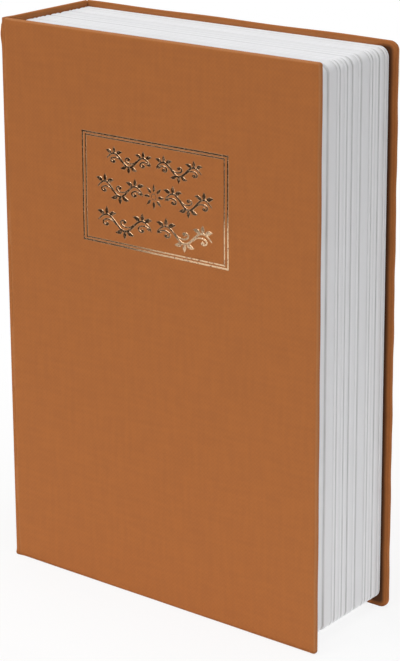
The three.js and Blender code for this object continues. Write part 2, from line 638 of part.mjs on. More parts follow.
function lockHousing() {
  const bezel = turnedAcrossY(LOCK_X, MIDDLE_Z, [
    [0, BEZEL_Y0], [BEZEL_RADIUS - BEZEL_CHAMFER, BEZEL_Y0], [BEZEL_RADIUS, BEZEL_Y0 + BEZEL_CHAMFER],
    [BEZEL_RADIUS, BEZEL_Y1], [0, BEZEL_Y1],
  ], 2 * ROUND_SIDES);
  const headRoom = PLUG_HEAD_HEIGHT + 2 * RUN_GAP;
  return cutBy(joined(bezel, barrelShape(0, BEZEL_Y1 - BEZEL_CHAMFER, BARREL_Y1)),
    rodAcrossY(LOCK_X, MIDDLE_Z, PLUG_RADIUS + RUN_GAP, BEZEL_Y0 - CUT_OVER, BARREL_Y1 + CUT_OVER),
    rodAcrossY(LOCK_X, MIDDLE_Z, PLUG_HEAD_RADIUS + RUN_GAP, BEZEL_Y0 - CUT_OVER, BEZEL_Y0 + headRoom));
}

function lockPlug() {
  const headY0 = BEZEL_Y0 + RUN_GAP;
  const headY1 = headY0 + PLUG_HEAD_HEIGHT;
  const half = TANG_SIZE / 2;
  const tangY1 = PLUG_Y1 + TANG_LENGTH;
  const plug = joined(rodAcrossY(LOCK_X, MIDDLE_Z, PLUG_HEAD_RADIUS, headY0, headY1),
    rodAcrossY(LOCK_X, MIDDLE_Z, PLUG_RADIUS, headY0, PLUG_Y1),
    box(LOCK_X - half, LOCK_X + half, headY1, tangY1, MIDDLE_Z - half, MIDDLE_Z + half));
  return cutBy(plug,
    box(LOCK_X - KEYWAY_WIDTH / 2, LOCK_X + KEYWAY_WIDTH / 2, headY0 - CUT_OVER, headY0 + KEYWAY_DEPTH,
      MIDDLE_Z - KEYWAY_HEIGHT / 2, MIDDLE_Z + KEYWAY_HEIGHT / 2),
    rodAcrossY(LOCK_X, MIDDLE_Z, CAM_SCREW_RADIUS + RUN_GAP, tangY1 - CAM_SCREW_DEPTH, tangY1 + CUT_OVER,
      BORE_SIDES));
}

function lockWasher() {
  const y0 = LID_Y1 + GLUE_GAP;
  const outline = new THREE.Shape();
  const steps = 2 * WASHER_TEETH;
  const root = (WASHER_RADIUS + BARREL_RADIUS + RUN_GAP) / 2;
  for (let step = 0; step < steps; step += 1) {
    const angle = step * 2 * Math.PI / steps;
    const radius = step % 2 === 0 ? WASHER_RADIUS : root;
    const x = LOCK_X + radius * Math.cos(angle);
    const z = MIDDLE_Z + radius * Math.sin(angle);
    if (step === 0) outline.moveTo(x, z);
    else outline.lineTo(x, z);
  }
  outline.closePath();
  return cutBy(plateAcrossY(outline, y0, y0 + WASHER_SHEET),
    rodAcrossY(LOCK_X, MIDDLE_Z, BARREL_RADIUS + RUN_GAP, y0 - CUT_OVER, y0 + WASHER_SHEET + CUT_OVER));
}

function lockNut() {
  const y0 = LID_Y1 + GLUE_GAP + WASHER_SHEET + GLUE_GAP;
  const hexSides = 6;
  const hexRadius = NUT_FLATS / 2 / Math.cos(Math.PI / hexSides);
  return cutBy(rodAcrossY(LOCK_X, MIDDLE_Z, hexRadius, y0, y0 + NUT_HEIGHT, hexSides),
    rodAcrossY(LOCK_X, MIDDLE_Z, BARREL_RADIUS + RUN_GAP, y0 - CUT_OVER, y0 + NUT_HEIGHT + CUT_OVER));
}

// The cam hangs down when the lock is open and turns to the fore-edge to lock
function lockCam() {
  const tipZ = MIDDLE_Z - CAM_REACH + CAM_TIP_RADIUS;
  const slope = Math.asin((CAM_HUB_RADIUS - CAM_TIP_RADIUS) / (MIDDLE_Z - tipZ));
  const outline = new THREE.Shape([
    ...arcPoints(LOCK_X, MIDDLE_Z, CAM_HUB_RADIUS, -slope, Math.PI + slope),
    ...arcPoints(LOCK_X, tipZ, CAM_TIP_RADIUS, Math.PI + slope, 2 * Math.PI - slope),
  ]);
  const half = TANG_SIZE / 2 + RUN_GAP;
  const tangHole = box(LOCK_X - half, LOCK_X + half, CAM_Y0 - CUT_OVER, CAM_Y1 + CUT_OVER,
    MIDDLE_Z - half, MIDDLE_Z + half);
  return cutBy(plateAcrossY(outline, CAM_Y0, CAM_Y1), tangHole);
}

function camWasher() {
  const y0 = CAM_Y1 + GLUE_GAP;
  return cutBy(rodAcrossY(LOCK_X, MIDDLE_Z, CAM_WASHER_RADIUS, y0, y0 + WASHER_SHEET),
    rodAcrossY(LOCK_X, MIDDLE_Z, CAM_SCREW_RADIUS + RUN_GAP, y0 - CUT_OVER, y0 + WASHER_SHEET + CUT_OVER,
      BORE_SIDES));
}

function camScrew() {
  const face = CAM_Y1 + GLUE_GAP + WASHER_SHEET + GLUE_GAP;
  const top = face + CAM_SCREW_HEAD_HEIGHT;
  const tip = PLUG_Y1 + TANG_LENGTH - CAM_SCREW_DEPTH + RUN_GAP;
  const body = turnedAcrossY(LOCK_X, MIDDLE_Z, [
    [0, tip], [CAM_SCREW_RADIUS, tip], [CAM_SCREW_RADIUS, face], [CAM_SCREW_HEAD_RADIUS, face],
    [CAM_SCREW_HEAD_RADIUS, top - CAM_SCREW_HEAD_HEIGHT / 2],
    [CAM_SCREW_HEAD_RADIUS - CAM_SCREW_HEAD_HEIGHT / 2, top], [0, top],
  ], BORE_SIDES);
  const half = SCREW_SLOT_WIDTH / 2;
  const arm = CAM_SCREW_RADIUS;
  const slotLow = top - SCREW_SLOT_DEPTH;
  const slotHigh = top + CUT_OVER;
  return cutBy(body,
    box(LOCK_X - arm, LOCK_X + arm, slotLow, slotHigh, MIDDLE_Z - half, MIDDLE_Z + half),
    box(LOCK_X - half, LOCK_X + half, slotLow, slotHigh, MIDDLE_Z - arm, MIDDLE_Z + arm));
}

// The strike is an angle on the tray's fore-edge wall: the locked cam lies behind its lip
function strikeBracket() {
  const angle = new THREE.Shape();
  angle.moveTo(STRIKE_X1, STRIKE_Y0);
  angle.lineTo(STRIKE_X1, STRIKE_Y1);
  angle.lineTo(STRIKE_X1 - STRIKE_REACH, STRIKE_Y1);
  angle.lineTo(STRIKE_X1 - STRIKE_REACH, STRIKE_Y1 - STRIKE_SHEET);
  angle.lineTo(STRIKE_X1 - STRIKE_SHEET, STRIKE_Y1 - STRIKE_SHEET);
  angle.lineTo(STRIKE_X1 - STRIKE_SHEET, STRIKE_Y0);
  angle.closePath();
  return sectionAlongZ(angle, MIDDLE_Z - STRIKE_HEIGHT / 2, MIDDLE_Z + STRIKE_HEIGHT / 2);
}

// Materials

function finish(color, roughness, metalness) {
  return new THREE.MeshStandardMaterial({ color, roughness, metalness });
}

const bookCloth = finish(0xa9683d, 0.85, 0);
const greyBoard = finish(0x8c867a, 0.9, 0);
const paper = finish(0xf1eee6, 0.9, 0);
const whitePlastic = finish(0xe6e6e8, 0.5, 0);
const blackPaint = finish(0x1c1c1e, 0.45, 0.2);
const zincSteel = finish(0xb4b6b8, 0.35, 1);
const nickel = finish(0xcfcfcc, 0.2, 1);
const darkSteel = finish(0x6a6c70, 0.4, 1);

// Assembly

// A group that turns about a pivot: the pieces keep their own places, and the group stands at the pivot
function pivotGroup(parent, pivot) {
  const group = new THREE.Group();
  group.position.copy(pivot).sub(parent.userData.pivot);
  group.userData.pivot = pivot;
  parent.add(group);
  return group;
}

function addPiece(group, name, solid, material) {
  const mesh = new THREE.Mesh(toGeometry(solid), material);
  mesh.name = name;
  mesh.position.copy(group.userData.pivot).negate();
  group.add(mesh);
}

const safe = new THREE.Group();
safe.userData.pivot = new THREE.Vector3();

addPiece(safe, 'case_cloth', caseCloth(), bookCloth);
addPiece(safe, 'back_board', backBoard(), greyBoard);
addPiece(safe, 'spine_board', spineBoard(), greyBoard);
addPiece(safe, 'front_joint_cloth', frontJointCloth(), bookCloth);
addPiece(safe, 'page_block', pageBlock(), whitePlastic);
addPiece(safe, 'steel_tray', steelTray(), blackPaint);
addPiece(safe, 'hinge_leaf', hingeLeaf(), blackPaint);
addPiece(safe, 'hinge_pin', hingePin(), zincSteel);
addPiece(safe, 'strike_bracket', strikeBracket(), zincSteel);
SCREW_PLACES.forEach((place, index) => {
  addPiece(safe, `tray_screw_${index + 1}`, trayScrew(place), zincSteel);
});

const frontCover = pivotGroup(safe, new THREE.Vector3(COVER_PIVOT_X, COVER_PIVOT_Y, 0));
addPiece(frontCover, 'front_cloth', frontCloth(), bookCloth);
addPiece(frontCover, 'front_board', frontBoard(), greyBoard);
addPiece(frontCover, 'front_endpaper', frontEndpaper(), paper);

const hingedLid = pivotGroup(safe, new THREE.Vector3(HINGE_X, HINGE_Y, 0));
addPiece(hingedLid, 'lid', lid(), blackPaint);
addPiece(hingedLid, 'lock_housing', lockHousing(), nickel);
addPiece(hingedLid, 'lock_washer', lockWasher(), zincSteel);
addPiece(hingedLid, 'lock_nut', lockNut(), zincSteel);

const lockCore = pivotGroup(hingedLid, new THREE.Vector3(LOCK_X, 0, MIDDLE_Z));
addPiece(lockCore, 'lock_plug', lockPlug(), nickel);
addPiece(lockCore, 'lock_cam', lockCam(), darkSteel);
addPiece(lockCore, 'cam_washer', camWasher(), zincSteel);
addPiece(lockCore, 'cam_screw', camScrew(), zincSteel);

export default safe;
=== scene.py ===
"""The looks of the book safe: a cloth-bound case round a moulded block of false pages, with a steel tray,
a hinged inner lid and a cam lock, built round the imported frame.

Lengths are in millimetres up to the point where a mesh is made, which is in metres. X runs from the spine
to the fore-edge, Y from the front cover to the back cover and Z from the tail to the head.
"""

import sys
import logging
import math
from dataclasses import dataclass
from enum import Enum
from typing import Callable, Sequence

import bmesh
import bpy
import numpy as np
from bpy.types import Material, Mesh, Node, NodeSocket, NodeTree, Object
from mathutils import Matrix, Vector


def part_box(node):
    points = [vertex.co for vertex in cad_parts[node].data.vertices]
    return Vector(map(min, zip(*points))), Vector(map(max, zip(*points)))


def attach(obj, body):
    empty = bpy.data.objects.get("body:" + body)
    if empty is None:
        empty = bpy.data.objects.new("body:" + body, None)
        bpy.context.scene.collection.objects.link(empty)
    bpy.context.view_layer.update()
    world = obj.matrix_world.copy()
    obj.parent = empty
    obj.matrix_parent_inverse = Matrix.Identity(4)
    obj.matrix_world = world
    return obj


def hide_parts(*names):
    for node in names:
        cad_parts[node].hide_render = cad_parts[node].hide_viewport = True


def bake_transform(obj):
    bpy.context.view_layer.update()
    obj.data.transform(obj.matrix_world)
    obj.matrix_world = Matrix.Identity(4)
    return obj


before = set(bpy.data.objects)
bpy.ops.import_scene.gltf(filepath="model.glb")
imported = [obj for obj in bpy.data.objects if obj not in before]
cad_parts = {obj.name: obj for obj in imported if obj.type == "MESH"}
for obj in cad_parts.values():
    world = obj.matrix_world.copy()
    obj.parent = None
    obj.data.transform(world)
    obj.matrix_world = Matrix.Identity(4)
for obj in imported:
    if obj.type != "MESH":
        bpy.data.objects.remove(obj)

# An array of numbers, two numbers that go together, and what turns q, z and h into points in space
Array = np.ndarray
Pair = tuple[float, float]
Place = Callable[[Array, Array, Array], Array]

LOG = logging.getLogger("book_safe")

MM = 0.001
QUARTER = math.pi / 2
FLAT_MAP = "flat"
SHADE = "shade"

# How far a cutting body runs past what it cuts, how near two points become one, and a sharp corner's radius
OVERRUN = 1.0
MERGE = 0.002
SHARP = 0.05

# The photograph's height in pixels, and the long side of the camera's sensor
FRAME_HEIGHT = 661
SENSOR = 36.0


# Numbers and curves


def linear(hex_colour: str) -> tuple[float, float, float, float]:
    """Turns an sRGB hex colour to linear red, green, blue and an alpha of one.

    Args:
        hex_colour: the colour, as a hash and six digits.

    Returns:
        The four numbers.
    """
    shares = np.array([int(hex_colour[place:place + 2], 16) / 255 for place in (1, 3, 5)])
    lit = np.where(shares <= 0.04045, shares / 12.92, ((shares + 0.055) / 1.055) ** 2.4)
    return (*(float(value) for value in lit), 1.0)


def smooth_step(value: Array, low: float, high: float) -> Array:
    """Rises from 0 at low to 1 at high along three squares less two cubes of the share between them."""
    share = np.clip((value - low) / (high - low), 0, 1)
    return share * share * (3 - 2 * share)


def bell(value: Array, middle: float, width: float) -> Array:
    """One at the middle, falling off as e to the minus square of the distance over the width."""
    return np.exp(-(((value - middle) / width) ** 2))


def runs(*stretches: tuple[float, float, int]) -> Array:
    """Even runs of values without doubles, each given as its start, its end and how many values it has."""
    return np.unique(np.concatenate([np.linspace(*stretch) for stretch in stretches]))


@dataclass(frozen=True)
class Wave:
    """A sine with a height and a length in millimetres, which begins at an angle."""

    height: float
    length: float
    start: float = 0.0

    def at(self, value: Array) -> Array:
        """The height times the sine of one full turn for each length, past the start."""
        return self.height * np.sin(2 * math.pi * value / self.length + self.start)


def arc(centre: Sequence[float], radius: float, start: float, end: float, steps: int) -> Array:
    """Points of an arc: its centre plus its radius times the cosine and sine of an even run of angles."""
    angles = np.linspace(start, end, steps + 1)
    return np.column_stack([centre[0] + radius * np.cos(angles), centre[1] + radius * np.sin(angles)])


def rounded_rectangle(u0: float, u1: float, v0: float, v1: float, radii: float | Sequence[float],
                      steps: int = 6) -> Array:
    """A closed anticlockwise outline with a quarter of a circle at each corner.

    Args:
        u0, u1, v0, v1: the rectangle's sides.
        radii: one radius, or those of the corners low-low, high-low, high-high and low-high.
        steps: how many straight stretches each quarter has.

    Returns:
        The outline's points, one row each.
    """
    corners = [(u0, v0, 1, 1), (u1, v0, -1, 1), (u1, v1, -1, -1), (u0, v1, 1, -1)]
    return np.vstack([
        arc((u + du * radius, v + dv * radius), radius, math.pi + turn * QUARTER,
            math.pi + (turn + 1) * QUARTER, steps)
        for turn, ((u, v, du, dv), radius) in enumerate(zip(corners, np.broadcast_to(radii, 4)))
    ])


def circle(u: float, v: float, radius: float, sides: int) -> Array:
    """A closed anticlockwise circle of even sides."""
    return arc((u, v), radius, 0, 2 * math.pi, sides)[:-1]


def left(ways: Array) -> Array:
    """The unit vector to the left of each way."""
    return np.column_stack([-ways[:, 1], ways[:, 0]]) / np.linalg.norm(ways, axis=1)[:, None]


def inset(outline: Array, distance: float) -> Array:
    """Moves a closed anticlockwise outline inwards, each of its edges by the distance."""
    # A point goes along the sum of its two edges' unit normals, times twice the distance over its square
    both = left(np.roll(outline, -1, axis=0) - outline) + left(outline - np.roll(outline, 1, axis=0))
    return outline + 2 * distance * both / (both ** 2).sum(axis=1)[:, None]


# Meshes


class Axis(Enum):
    """The axis that a plate or a turned piece is built up along, by its place in a point."""

    Y = 1
    Z = 2


class Join(Enum):
    """What becomes of a body and a second one."""

    ADD = "UNION"
    CUT = "DIFFERENCE"
    KEEP = "INTERSECT"


def grid_faces(rows: int, columns: int, closed: bool = False) -> Array:
    """Four-cornered faces between neighbouring rows and columns of a grid of points.

    Args:
        rows: how many rows of points there are.
        columns: how many points a row has.
        closed: whether the last point of a row joins its first.

    Returns:
        One row of four point numbers for each face.
    """
    low = np.arange(rows - 1)[:, None] * columns
    near = np.arange(columns if closed else columns - 1)[None, :]
    far = (near + 1) % columns
    corners = np.broadcast_arrays(low + near, low + far, low + far + columns, low + near + columns)
    return np.stack(corners, axis=-1).reshape(-1, 4)


@dataclass
class Skin:
    """Points in millimetres, and blocks of faces that each hold rows of point numbers."""

    points: Array
    blocks: list[Array]

    @classmethod
    def through(cls, rings: Array, capped: bool = True) -> "Skin":
        """A body through rings of points, each joined to the next, with a flat face at each end if capped.

        Args:
            rings: the rings, of as many points each.
            capped: whether the first and the last ring get a face.

        Returns:
            The skin.
        """
        count, size = rings.shape[:2]
        first = np.arange(size)[None, ::-1]
        last = np.arange(size)[None, :] + (count - 1) * size
        return cls(rings.reshape(-1, 3), [grid_faces(count, size, closed=True), *(first, last)[:2 * capped]])

    @classmethod
    def of(cls, skins: Sequence["Skin"]) -> "Skin":
        """Several skins side by side in one."""
        shifts = np.cumsum([0] + [len(skin.points) for skin in skins[:-1]])
        return cls(np.vstack([skin.points for skin in skins]),
                   [rows + shift for skin, shift in zip(skins, shifts) for rows in skin.blocks])


def lifted(outline: Array, level: float | Array, axis: Axis = Axis.Y) -> Array:
    """Puts outlines of the other two coordinates in the planes at a level of the axis."""
    return np.insert(outline, axis.value, level, axis=-1)


def edge_arc(radius: float, steps: int = 3) -> Array:
    """A rounded edge: rows of how far in and how far up, for angles from flat to upright."""
    angles = np.linspace(0, QUARTER, steps + 1)
    return np.column_stack([radius * (1 - np.sin(angles)), radius * (1 - np.cos(angles))])


def plate(outline: Array, low: float, high: float, edge: float = 0.0, axis: Axis = Axis.Y) -> Skin:
    """A flat plate between two planes, with its edges rounded by the arc of edge_arc.

    Args:
        outline: its outline in the other two coordinates.
        low, high: its faces.
        edge: the radius of the rounding.
        axis: the axis across the plate.

    Returns:
        The closed body.
    """
    bend = edge_arc(edge) if edge else np.zeros((1, 2))
    rings = [lifted(inset(outline, inward), low + up, axis) for inward, up in bend]
    rings += [lifted(inset(outline, inward), high - up, axis) for inward, up in bend[::-1]]
    return Skin.through(np.stack(rings))


def block(x0: float, x1: float, y0: float, y1: float, z0: float, z1: float) -> Skin:
    """A plain box, for cutting."""
    return plate(np.array([(x0, z0), (x1, z0), (x1, z1), (x0, z1)]), y0, y1)


def turned(u: float, v: float, profile: Sequence[Sequence[float]], sides: int = 48,
           axis: Axis = Axis.Y) -> Skin:
    """A piece turned about an axis: each profile row is a radius and a level, made a ring of sides.

    Args:
        u, v: the axis, in the other two coordinates.
        profile: the rows, from one end to the other.
        sides: how many sides a ring has.
        axis: the direction of the axis.

    Returns:
        The closed body.
    """
    radii, levels = np.array(profile, float).T
    rings = radii[:, None, None] * circle(0, 0, 1, sides) + (u, v)
    return Skin.through(lifted(rings, levels[:, None], axis))


def rod(u: float, v: float, radius: float, low: float, high: float, sides: int = 48,
        axis: Axis = Axis.Y) -> Skin:
    """A plain rod along an axis."""
    return turned(u, v, [(radius, low), (radius, high)], sides, axis)


def thread(radius: float, groove: float, low: float, high: float, step: float) -> list[Pair]:
    """A thread's profile for turning: crests at the radius and, by turns, roots at a groove's depth."""
    return [(radius - groove * (count % 2), y) for count, y in enumerate(np.arange(low, high, step))]


def mirrored(rows: Sequence[Pair], low: float, high: float) -> list[Pair]:
    """A profile for turning, from rows of a radius and a distance that hold at both of its ends."""
    return [(radius, low + up) for radius, up in rows] + [(radius, high - up) for radius, up in rows[::-1]]


def cross(x: float, z: float, y0: float, y1: float, width: float, length: float) -> list[Skin]:
    """The two crossed slots of a screw's recess, for cutting."""
    return [block(x - u / 2, x + u / 2, y0, y1, z - v / 2, z + v / 2)
            for u, v in ((length, width), (width, length))]


def store_shade(mesh: Mesh, shade: Array) -> None:
    """Keeps a number for each point of a mesh, from -1 for painted shade to 1 for painted light, which on the
    cloth's edges is also wear.
    """
    mesh.attributes.new(SHADE, "FLOAT", "POINT").data.foreach_set("value", shade.astype(np.float32))


def make_object(name: str, skin: Skin, flat: Array | None = None, shade: Array | None = None,
                closed: bool = True, merge: float = MERGE) -> Object:
    """Makes an object of a skin, at the origin, with its place in its mesh.

    Args:
        name: the piece's name.
        skin: its points and faces, in millimetres.
        flat: each point's place on the flat cloth, in millimetres, for the piece's own map.
        shade: how much painted shade or painted light, with edge wear on the cloth, the piece has at each
            point.
        closed: whether it is a closed body, whose faces are then turned outwards.
        merge: points closer than this become one.

    Returns:
        The new object.
    """
    mesh = bpy.data.meshes.new(name)
    faces = [face for rows in skin.blocks for face in rows.tolist()]
    mesh.from_pydata((skin.points * MM).tolist(), [], faces)
    if flat is not None:
        corners = np.empty(len(mesh.loops), np.int32)
        mesh.loops.foreach_get("vertex_index", corners)
        mesh.uv_layers.new(name=FLAT_MAP).data.foreach_set("uv", (flat[corners] * MM).ravel())
    if shade is not None:
        store_shade(mesh, shade)
    work = bmesh.new()
    work.from_mesh(mesh)
    bmesh.ops.remove_doubles(work, verts=work.verts, dist=merge * MM)
    if closed:
        bmesh.ops.recalc_face_normals(work, faces=work.faces)
    work.to_mesh(mesh)
    work.free()
    obj = bpy.data.objects.new(name, mesh)
    bpy.context.scene.collection.objects.link(obj)
    return obj


def apply_modifiers(obj: Object) -> None:
    """Makes an object's modifiers part of its mesh.

    Args:
        obj: the object.
    """
    graph = bpy.context.evaluated_depsgraph_get()
    mesh = bpy.data.meshes.new_from_object(obj.evaluated_get(graph))
    before = obj.data
    obj.modifiers.clear()
    obj.data = mesh
    bpy.data.meshes.remove(before)


def combine(obj: Object, how: Join, *others: Skin | Object) -> None:
    """Joins a body with others, cuts them from it, or keeps what it shares with them, and uses them up.

    Args:
        obj: the body that stays.
        how: what becomes of them.
        others: skins or objects, taken one after another.
    """
    for other in others:
        second = make_object("second", other) if isinstance(other, Skin) else other
        modifier = obj.modifiers.new("joined", "BOOLEAN")
        modifier.operation = how.value
        modifier.solver = "EXACT"
        modifier.object = second
        apply_modifiers(obj)
        bpy.data.objects.remove(second)


def smooth(obj: Object, degrees: float) -> Object:
    """Shades an object smooth, with a hard line where its faces meet at more than an angle.

    Args:
        obj: the object.
        degrees: the angle.

    Returns:
        The same object.
    """
    obj.data.shade_smooth()
    obj.data.set_sharp_from_angle(angle=math.radians(degrees))
    return obj


def soften(obj: Object, width: float, segments: int = 2, degrees: float = 30) -> Object:
    """Rounds an object's hard edges by a width, as pressing, moulding or plating leaves them.

    Args:
        obj: the object.
        width: how wide the rounding is.
        segments: how many stretches it has.
        degrees: the angle from which an edge is hard.

    Returns:
        The same object.
    """
    obj.data.shade_smooth()
    modifier = obj.modifiers.new("edges", "BEVEL")
    modifier.width = width * MM
    modifier.segments = segments
    modifier.limit_method = "ANGLE"
    modifier.angle_limit = math.radians(degrees)
    modifier.harden_normals = True
    return obj


def give_wall(obj: Object, thickness: float) -> Object:
    """Gives an open sheet its thickness, inwards from its faces.

    Args:
        obj: the sheet.
        thickness: its thickness.

    Returns:
        The same object.
    """
    modifier = obj.modifiers.new("wall", "SOLIDIFY")
    modifier.thickness = thickness * MM
    modifier.offset = -1
    return obj


@dataclass(frozen=True)
class Extent:
    """The box of one CAD node at rest, in millimetres."""

    x0: float
    x1: float
    y0: float
    y1: float
    z0: float
    z1: float

    @classmethod
    def of(cls, node: str) -> "Extent":
        """Reads a node's box from the frame."""
        low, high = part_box(node)
        return cls(*(float(value) / MM for pair in zip(low, high) for value in pair))

    def middle(self) -> Pair:
        """The middle, as X and Z."""
        return (self.x0 + self.x1) / 2, (self.z0 + self.z1) / 2


# Finishes

# The range of noise values that is spread over a pattern's whole range
NOISE_LOW, NOISE_HIGH = 0.3, 0.7


def add_node(tree: NodeTree, kind: str, settings: dict | None = None, links: dict | None = None) -> Node:
    """Adds one node with its settings and links.

    Args:
        tree: the node tree.
        kind: the node's type, without the ShaderNode that each type's name begins with.
        settings: values by the name of a property, in small letters, or by the name or number of an input.
        links: what feeds each input, by its name or number: an output, or a node for its first output.

    Returns:
        The new node.
    """
    node = tree.nodes.new("ShaderNode" + kind)
    for name, value in (settings or {}).items():
        if isinstance(name, str) and name[0].islower():
            setattr(node, name, value)
        else:
            node.inputs[name].default_value = value
    for name, source in (links or {}).items():
        output = source if isinstance(source, NodeSocket) else source.outputs[0]
        tree.links.new(output, node.inputs[name])
    return node


def per_metre(length: float) -> float:
    """How often a pattern of this size in millimetres repeats in a metre."""
    return 1 / (length * MM)


def object_place(tree: NodeTree) -> NodeSocket:
    """The place of a point on its object, in metres."""
    return add_node(tree, "TexCoord").outputs["Object"]


def patches(tree: NodeTree, place: NodeSocket, size: float, detail: float = 2.0, low: float = 0.0,
            high: float = 1.0) -> Node:
    """Adds noise in patches of a size in millimetres, spread between two values.

    Args:
        tree: the node tree.
        place: the place of a point, which the patches follow.
        size: how large they are.
        detail: how many finer noises are laid over them.
        low, high: the two values.

    Returns:
        The node that gives the value.
    """
    noise = add_node(tree, "TexNoise", {"Scale": per_metre(size), "Detail": detail}, {"Vector": place})
    return add_node(tree, "MapRange", {
        "From Min": NOISE_LOW, "From Max": NOISE_HIGH, "To Min": low, "To Max": high}, {"Value": noise})


def new_material(name: str) -> tuple[Material, NodeTree]:
    """Makes a material with an empty node tree.

    Args:
        name: its name.

    Returns:
        The material and its node tree.
    """
    material = bpy.data.materials.new(name)
    material.use_nodes = True
    material.node_tree.nodes.clear()
    return material, material.node_tree


@dataclass(frozen=True)
class Finish:
    """What every finish has: its plain values, and the size and depth of the fine relief on it."""

    name: str
    colour: str
    roughness: float
    metallic: float = 0.0
    grain: float = 0.6
    grain_depth: float = 0.008

    def start(self) -> tuple[Material, NodeTree, Node]:
        """Makes the material, with the finish's values on its shader's own sockets.

        Returns:
            The material, its node tree and its shader.
        """
        material, tree = new_material(self.name)
        shader = add_node(tree, "BsdfPrincipled", {
            "Base Color": linear(self.colour), "Roughness": self.roughness, "Metallic": self.metallic})
        add_node(tree, "OutputMaterial", links={"Surface": shader})
        return material, tree, shader

    def grained(self, tree: NodeTree, shader: Node, place: NodeSocket) -> None:
        """Gives the surface its fine relief.

        Args:
            tree: the material's node tree.
            shader: its shader.
            place: the place of a point, which the relief follows.
        """
        noise = add_node(tree, "TexNoise", {"Scale": per_metre(self.grain)}, {"Vector": place})
        bump = add_node(tree, "Bump", {"Distance": self.grain_depth * MM}, {"Height": noise})
        tree.links.new(bump.outputs[0], shader.inputs["Normal"])


@dataclass(frozen=True)
class BookCloth(Finish):
    """Plain-woven cotton book cloth, dyed, filled with starch and glued down over board.

    The filled weave gives a dull surface with a fine even grain of threads, and the tone is a little
    lighter on the crests of the threads than between them. The grain is the spacing of the threads, drawn
    at 0.9 mm, coarser than the real 0.4 mm, so that it shows. Folded edges are painted lighter, as wear
    and as a painted highlight, and the turned-in border gets painted light away from the fore edge and
    painted shade beside the block and along the inner edges.
    """

    weave_share: float = 0.3
    cloud: float = 9.0
    cloud_share: float = 0.5
    # Paler tint for the edges' wear and painted highlight, and for painted light on the turned-in border
    wear_and_light_colour: str = "#C48B5E"
    wear_and_light_share: float = 0.4
    # Dark tint for painted shade along the inner edges and beside the block
    painted_shade_colour: str = "#2E1A0E"
    painted_shade_share: float = 0.85
    crest_colour: str = "#AC6834"
    valley_colour: str = "#A46333"
    slub: float = 9.0
    tone_reach: float = 0.4
    bump_strength: float = 0.8
    gloss: float = 0.2

    def material(self) -> Material:
        """Makes the material.

        The weave's height is the sine across the warp times the sine across the weft, plus two slow noises,
        each stretched along one of the two, that make the threads uneven. The tone follows that height and
        a slower clouding, and the piece's painted light and painted shade, with the wear of its edges, are
        mixed in last.

        Returns:
            The material.
        """
        material, tree, shader = self.start()
        flat = add_node(tree, "UVMap", {"uv_map": FLAT_MAP})
        split = add_node(tree, "SeparateXYZ", links={0: flat})
        turns = [add_node(tree, "Math", {"operation": "MULTIPLY", 1: math.pi * per_metre(self.grain)},
                          {0: split.outputs[axis]}) for axis in (0, 1)]
        warp, weft = (add_node(tree, "Math", {"operation": "SINE"}, {0: turn}) for turn in turns)
        weave = add_node(tree, "Math", {"operation": "MULTIPLY"}, {0: warp, 1: weft})
        squeezed = [add_node(tree, "Mapping", {"Scale": scale}, {"Vector": flat})
                    for scale in ((1 / self.slub, 1, 1), (1, 1 / self.slub, 1))]
        slubs = [add_node(tree, "TexNoise", {"Scale": per_metre(2 * self.grain), "Detail": 1.0},
                          {"Vector": mapping}) for mapping in squeezed]
        uneven = add_node(tree, "Math", {"operation": "ADD"}, {0: slubs[0], 1: slubs[1]})
        height = add_node(
            tree, "Math", {"operation": "MULTIPLY_ADD", 1: self.weave_share}, {0: weave, 2: uneven})
        bump = add_node(tree, "Bump", {"Strength": self.bump_strength, "Distance": self.grain_depth * MM},
                        {"Height": height})
        clouds = add_node(tree, "TexNoise", {"Scale": per_metre(self.cloud), "Detail": 4.0}, {"Vector": flat})
        tone = add_node(
            tree, "Math", {"operation": "MULTIPLY_ADD", 1: self.cloud_share}, {0: clouds, 2: height})
        middle = 1 + self.cloud_share / 2
        spread = add_node(tree, "MapRange", {
            "From Min": middle - self.tone_reach, "From Max": middle + self.tone_reach}, {"Value": tone})
        colour = add_node(tree, "Mix", {
            "data_type": "RGBA", 6: linear(self.valley_colour), 7: linear(self.crest_colour)},
            {0: spread}).outputs[2]
        shade = add_node(tree, "Attribute", {"attribute_name": SHADE}).outputs["Fac"]
        # Mixes in the paler tint for edge wear, painted highlights and painted light, and the dark tint for
        # painted shade
        for reach, tint in ((self.wear_and_light_share, self.wear_and_light_colour), (-self.painted_shade_share, self.painted_shade_colour)):
            share = add_node(tree, "Math", {"operation": "MULTIPLY", "use_clamp": True, 1: reach}, {0: shade})
            colour = add_node(
                tree, "Mix", {"data_type": "RGBA", 7: linear(tint)}, {0: share, 6: colour}).outputs[2]
        tree.links.new(colour, shader.inputs["Base Color"])
        tree.links.new(bump.outputs[0], shader.inputs["Normal"])
        shader.inputs["Specular IOR Level"].default_value = self.gloss
        return material


@dataclass(frozen=True)
class Mottled(Finish):
    """A finish whose colour varies between two tones in patches of a size in millimetres."""

    dark: str = "#000000"
    light: str = "#FFFFFF"
    patch: float = 1.0
    detail: float = 3.0

    def material(self) -> Material:
        """Makes the material.

        Returns:
            The material.
        """
        material, tree, shader = self.start()
        place = object_place(tree)
        mix = add_node(tree, "Mix", {"data_type": "RGBA", 6: linear(self.dark), 7: linear(self.light)},
                       {0: patches(tree, place, self.patch, self.detail)})
        tree.links.new(mix.outputs[2], shader.inputs["Base Color"])
        self.grained(tree, shader, place)
        return material


